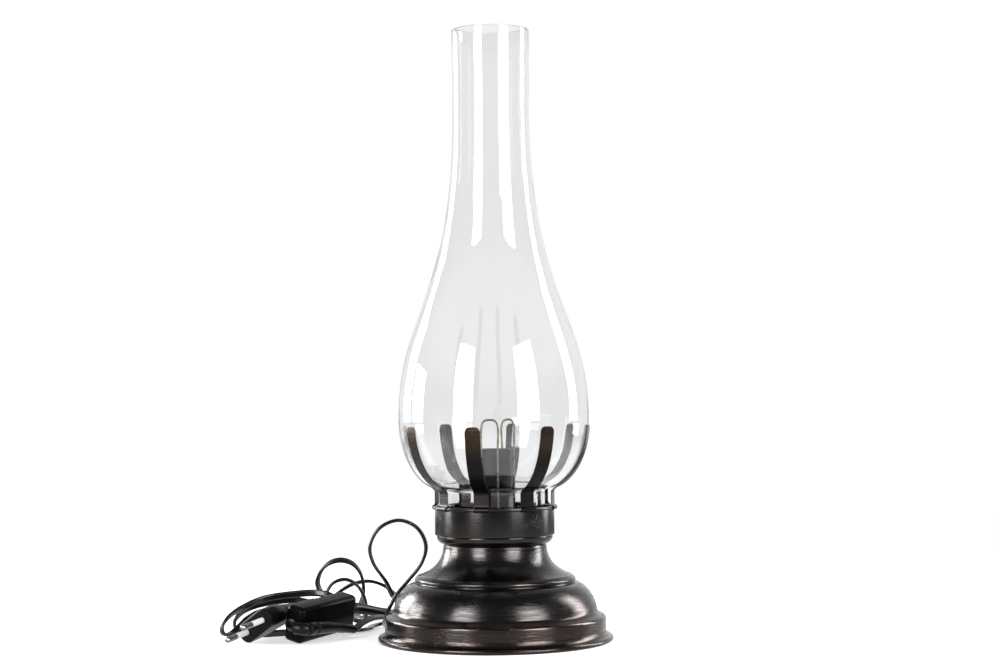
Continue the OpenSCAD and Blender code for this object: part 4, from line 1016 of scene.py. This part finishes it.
redone("plug_pins", steel("nickel", (0.34, 0.33, 0.31), 0.22, 400))
redone("plug_pin_sleeves", moulded("white_nylon", (0.5, 0.5, 0.49), 0.35))

# Studio. The lamp stands on a pale floor that fades to white, between five upright soft boxes
# whose strips show in the glass. Four low cards near the floor give the gallery its highlights.
# The sky is white to the camera and dimmer in the metal.
floor_r = 1.2
floor_white = 0.8


def studio_floor():
    turned = [math.radians(3 * k) for k in range(120)]
    points = [(floor_r * math.cos(a), floor_r * math.sin(a), 0) for a in turned]
    floor = meshed("floor", [(0, 0, 0), *points], [(0, k + 1, (k + 1) % 120 + 1) for k in range(120)])
    material, start = finish("floor_white")
    far = start.place().times((1, 1, 0)).length().between(0.25, 0.85)
    shader = material.node_tree.nodes["Principled BSDF"]
    coated(material, {"Base Color": (floor_white, floor_white, floor_white, 1), "Roughness": 0.9,
                      "Specular IOR Level": 0.1})
    through = start.node("LightPath", out="Is Transmission Ray")
    seen = through.maths("MAXIMUM", through, start.node("LightPath", out="Is Camera Ray"))
    glow = start.node("Emission", values={"Strength": 0.4})
    lit = start.node("AddShader", values={0: Wire(start.tree, shader.outputs[0]), 1: glow})
    plain = start.node("MixShader", values={0: seen, 1: Wire(start.tree, shader.outputs[0]), 2: lit})
    white = start.node("Emission", values={"Strength": 1.0})
    faded = start.node("MixShader", values={0: far, 1: plain, 2: white})
    mirrored = start.node("LightPath", out="Is Glossy Ray") * (1 - through)
    near_glow = start.node("Emission", values={"Strength": 0.85})
    far_glow = start.node("Emission", values={"Strength": 0.12})
    dim = start.node("MixShader", values={0: far, 1: near_glow, 2: far_glow})
    whole = start.node("MixShader", values={0: mirrored, 1: faded, 2: dim})
    output = material.node_tree.nodes["Material Output"]
    material.node_tree.links.new(whole.socket, output.inputs["Surface"])
    floor.data.materials.append(material)


def sky():
    world = bpy.data.worlds.new("studio")
    bpy.context.scene.world = world
    world.use_nodes = True
    start = Wire(world.node_tree)
    direct = start.node("LightPath", out="Is Camera Ray")
    through = start.node("LightPath", out="Is Transmission Ray")
    glossy = start.node("LightPath", out="Is Glossy Ray")
    behind = start.node("TexCoord", out="Generated").parts()[1].between(0.2, 0.95)
    mirrored = 0.12 + behind * 0.8
    white = direct.maths("MAXIMUM", direct, through)
    strength = 0.6 + glossy * (mirrored - 0.6)
    strength = strength + white * (1 - strength)
    back = world.node_tree.nodes["Background"]
    world.node_tree.links.new(strength.socket, back.inputs["Strength"])
    back.inputs["Color"].default_value = (1, 1, 1, 1)


def soft_box(name, compass, away, width, low, high, glow, through=False):
    """An upright soft box that faces the lamp, with its glow as its brightness."""
    lamp = bpy.data.lights.new(name, "AREA")
    lamp.shape = "RECTANGLE"
    lamp.size = width
    lamp.size_y = high - low
    lamp.energy = 4 * width * (high - low) * glow
    box = bpy.data.objects.new(name, lamp)
    bpy.context.scene.collection.objects.link(box)
    a = math.radians(compass)
    box.location = (away * math.sin(a), -away * math.cos(a), (low + high) / 2)
    box.rotation_euler = (math.radians(90), 0, a)
    box.visible_camera = False
    box.visible_transmission = through


studio_floor()
sky()
soft_box("left_front_box", -36.5, 1.25, 0.51, 0.12, 0.96, 10, True)
soft_box("right_front_box", 42, 1.25, 0.6, 0.12, 0.96, 9, True)
soft_box("left_side_box", -127, 1.25, 0.45, 0.12, 0.7, 14)
soft_box("left_side_window", -102.5, 1.25, 0.46, 0.12, 0.5, 14)
soft_box("right_side_box", 110, 1.25, 0.36, 0.12, 1.1, 12)
soft_box("left_front_card", -36.5, 0.85, 0.3, 0.0, 0.1, 3)
soft_box("right_front_card", 43, 0.85, 0.32, 0.0, 0.1, 2.5)
soft_box("left_side_card", -98, 0.85, 0.22, 0.0, 0.1, 8)
soft_box("right_side_card", 114, 0.85, 0.2, 0.0, 0.1, 6)

view = bpy.data.cameras.new("camera")
view.sensor_width = 36
view.lens = 70.2
view.shift_x = 0.0066
view.shift_y = 0.0565
camera = bpy.data.objects.new("camera", view)
bpy.context.scene.collection.objects.link(camera)
camera.matrix_world = (Matrix.Translation((0, -1.287, 0.165)) @ Matrix.Rotation(math.radians(90), 4, "X")
                       @ Matrix.Rotation(math.radians(-0.55), 4, "Z"))
bpy.context.scene.camera = camera
bpy.context.scene.view_settings.view_transform = "Standard"
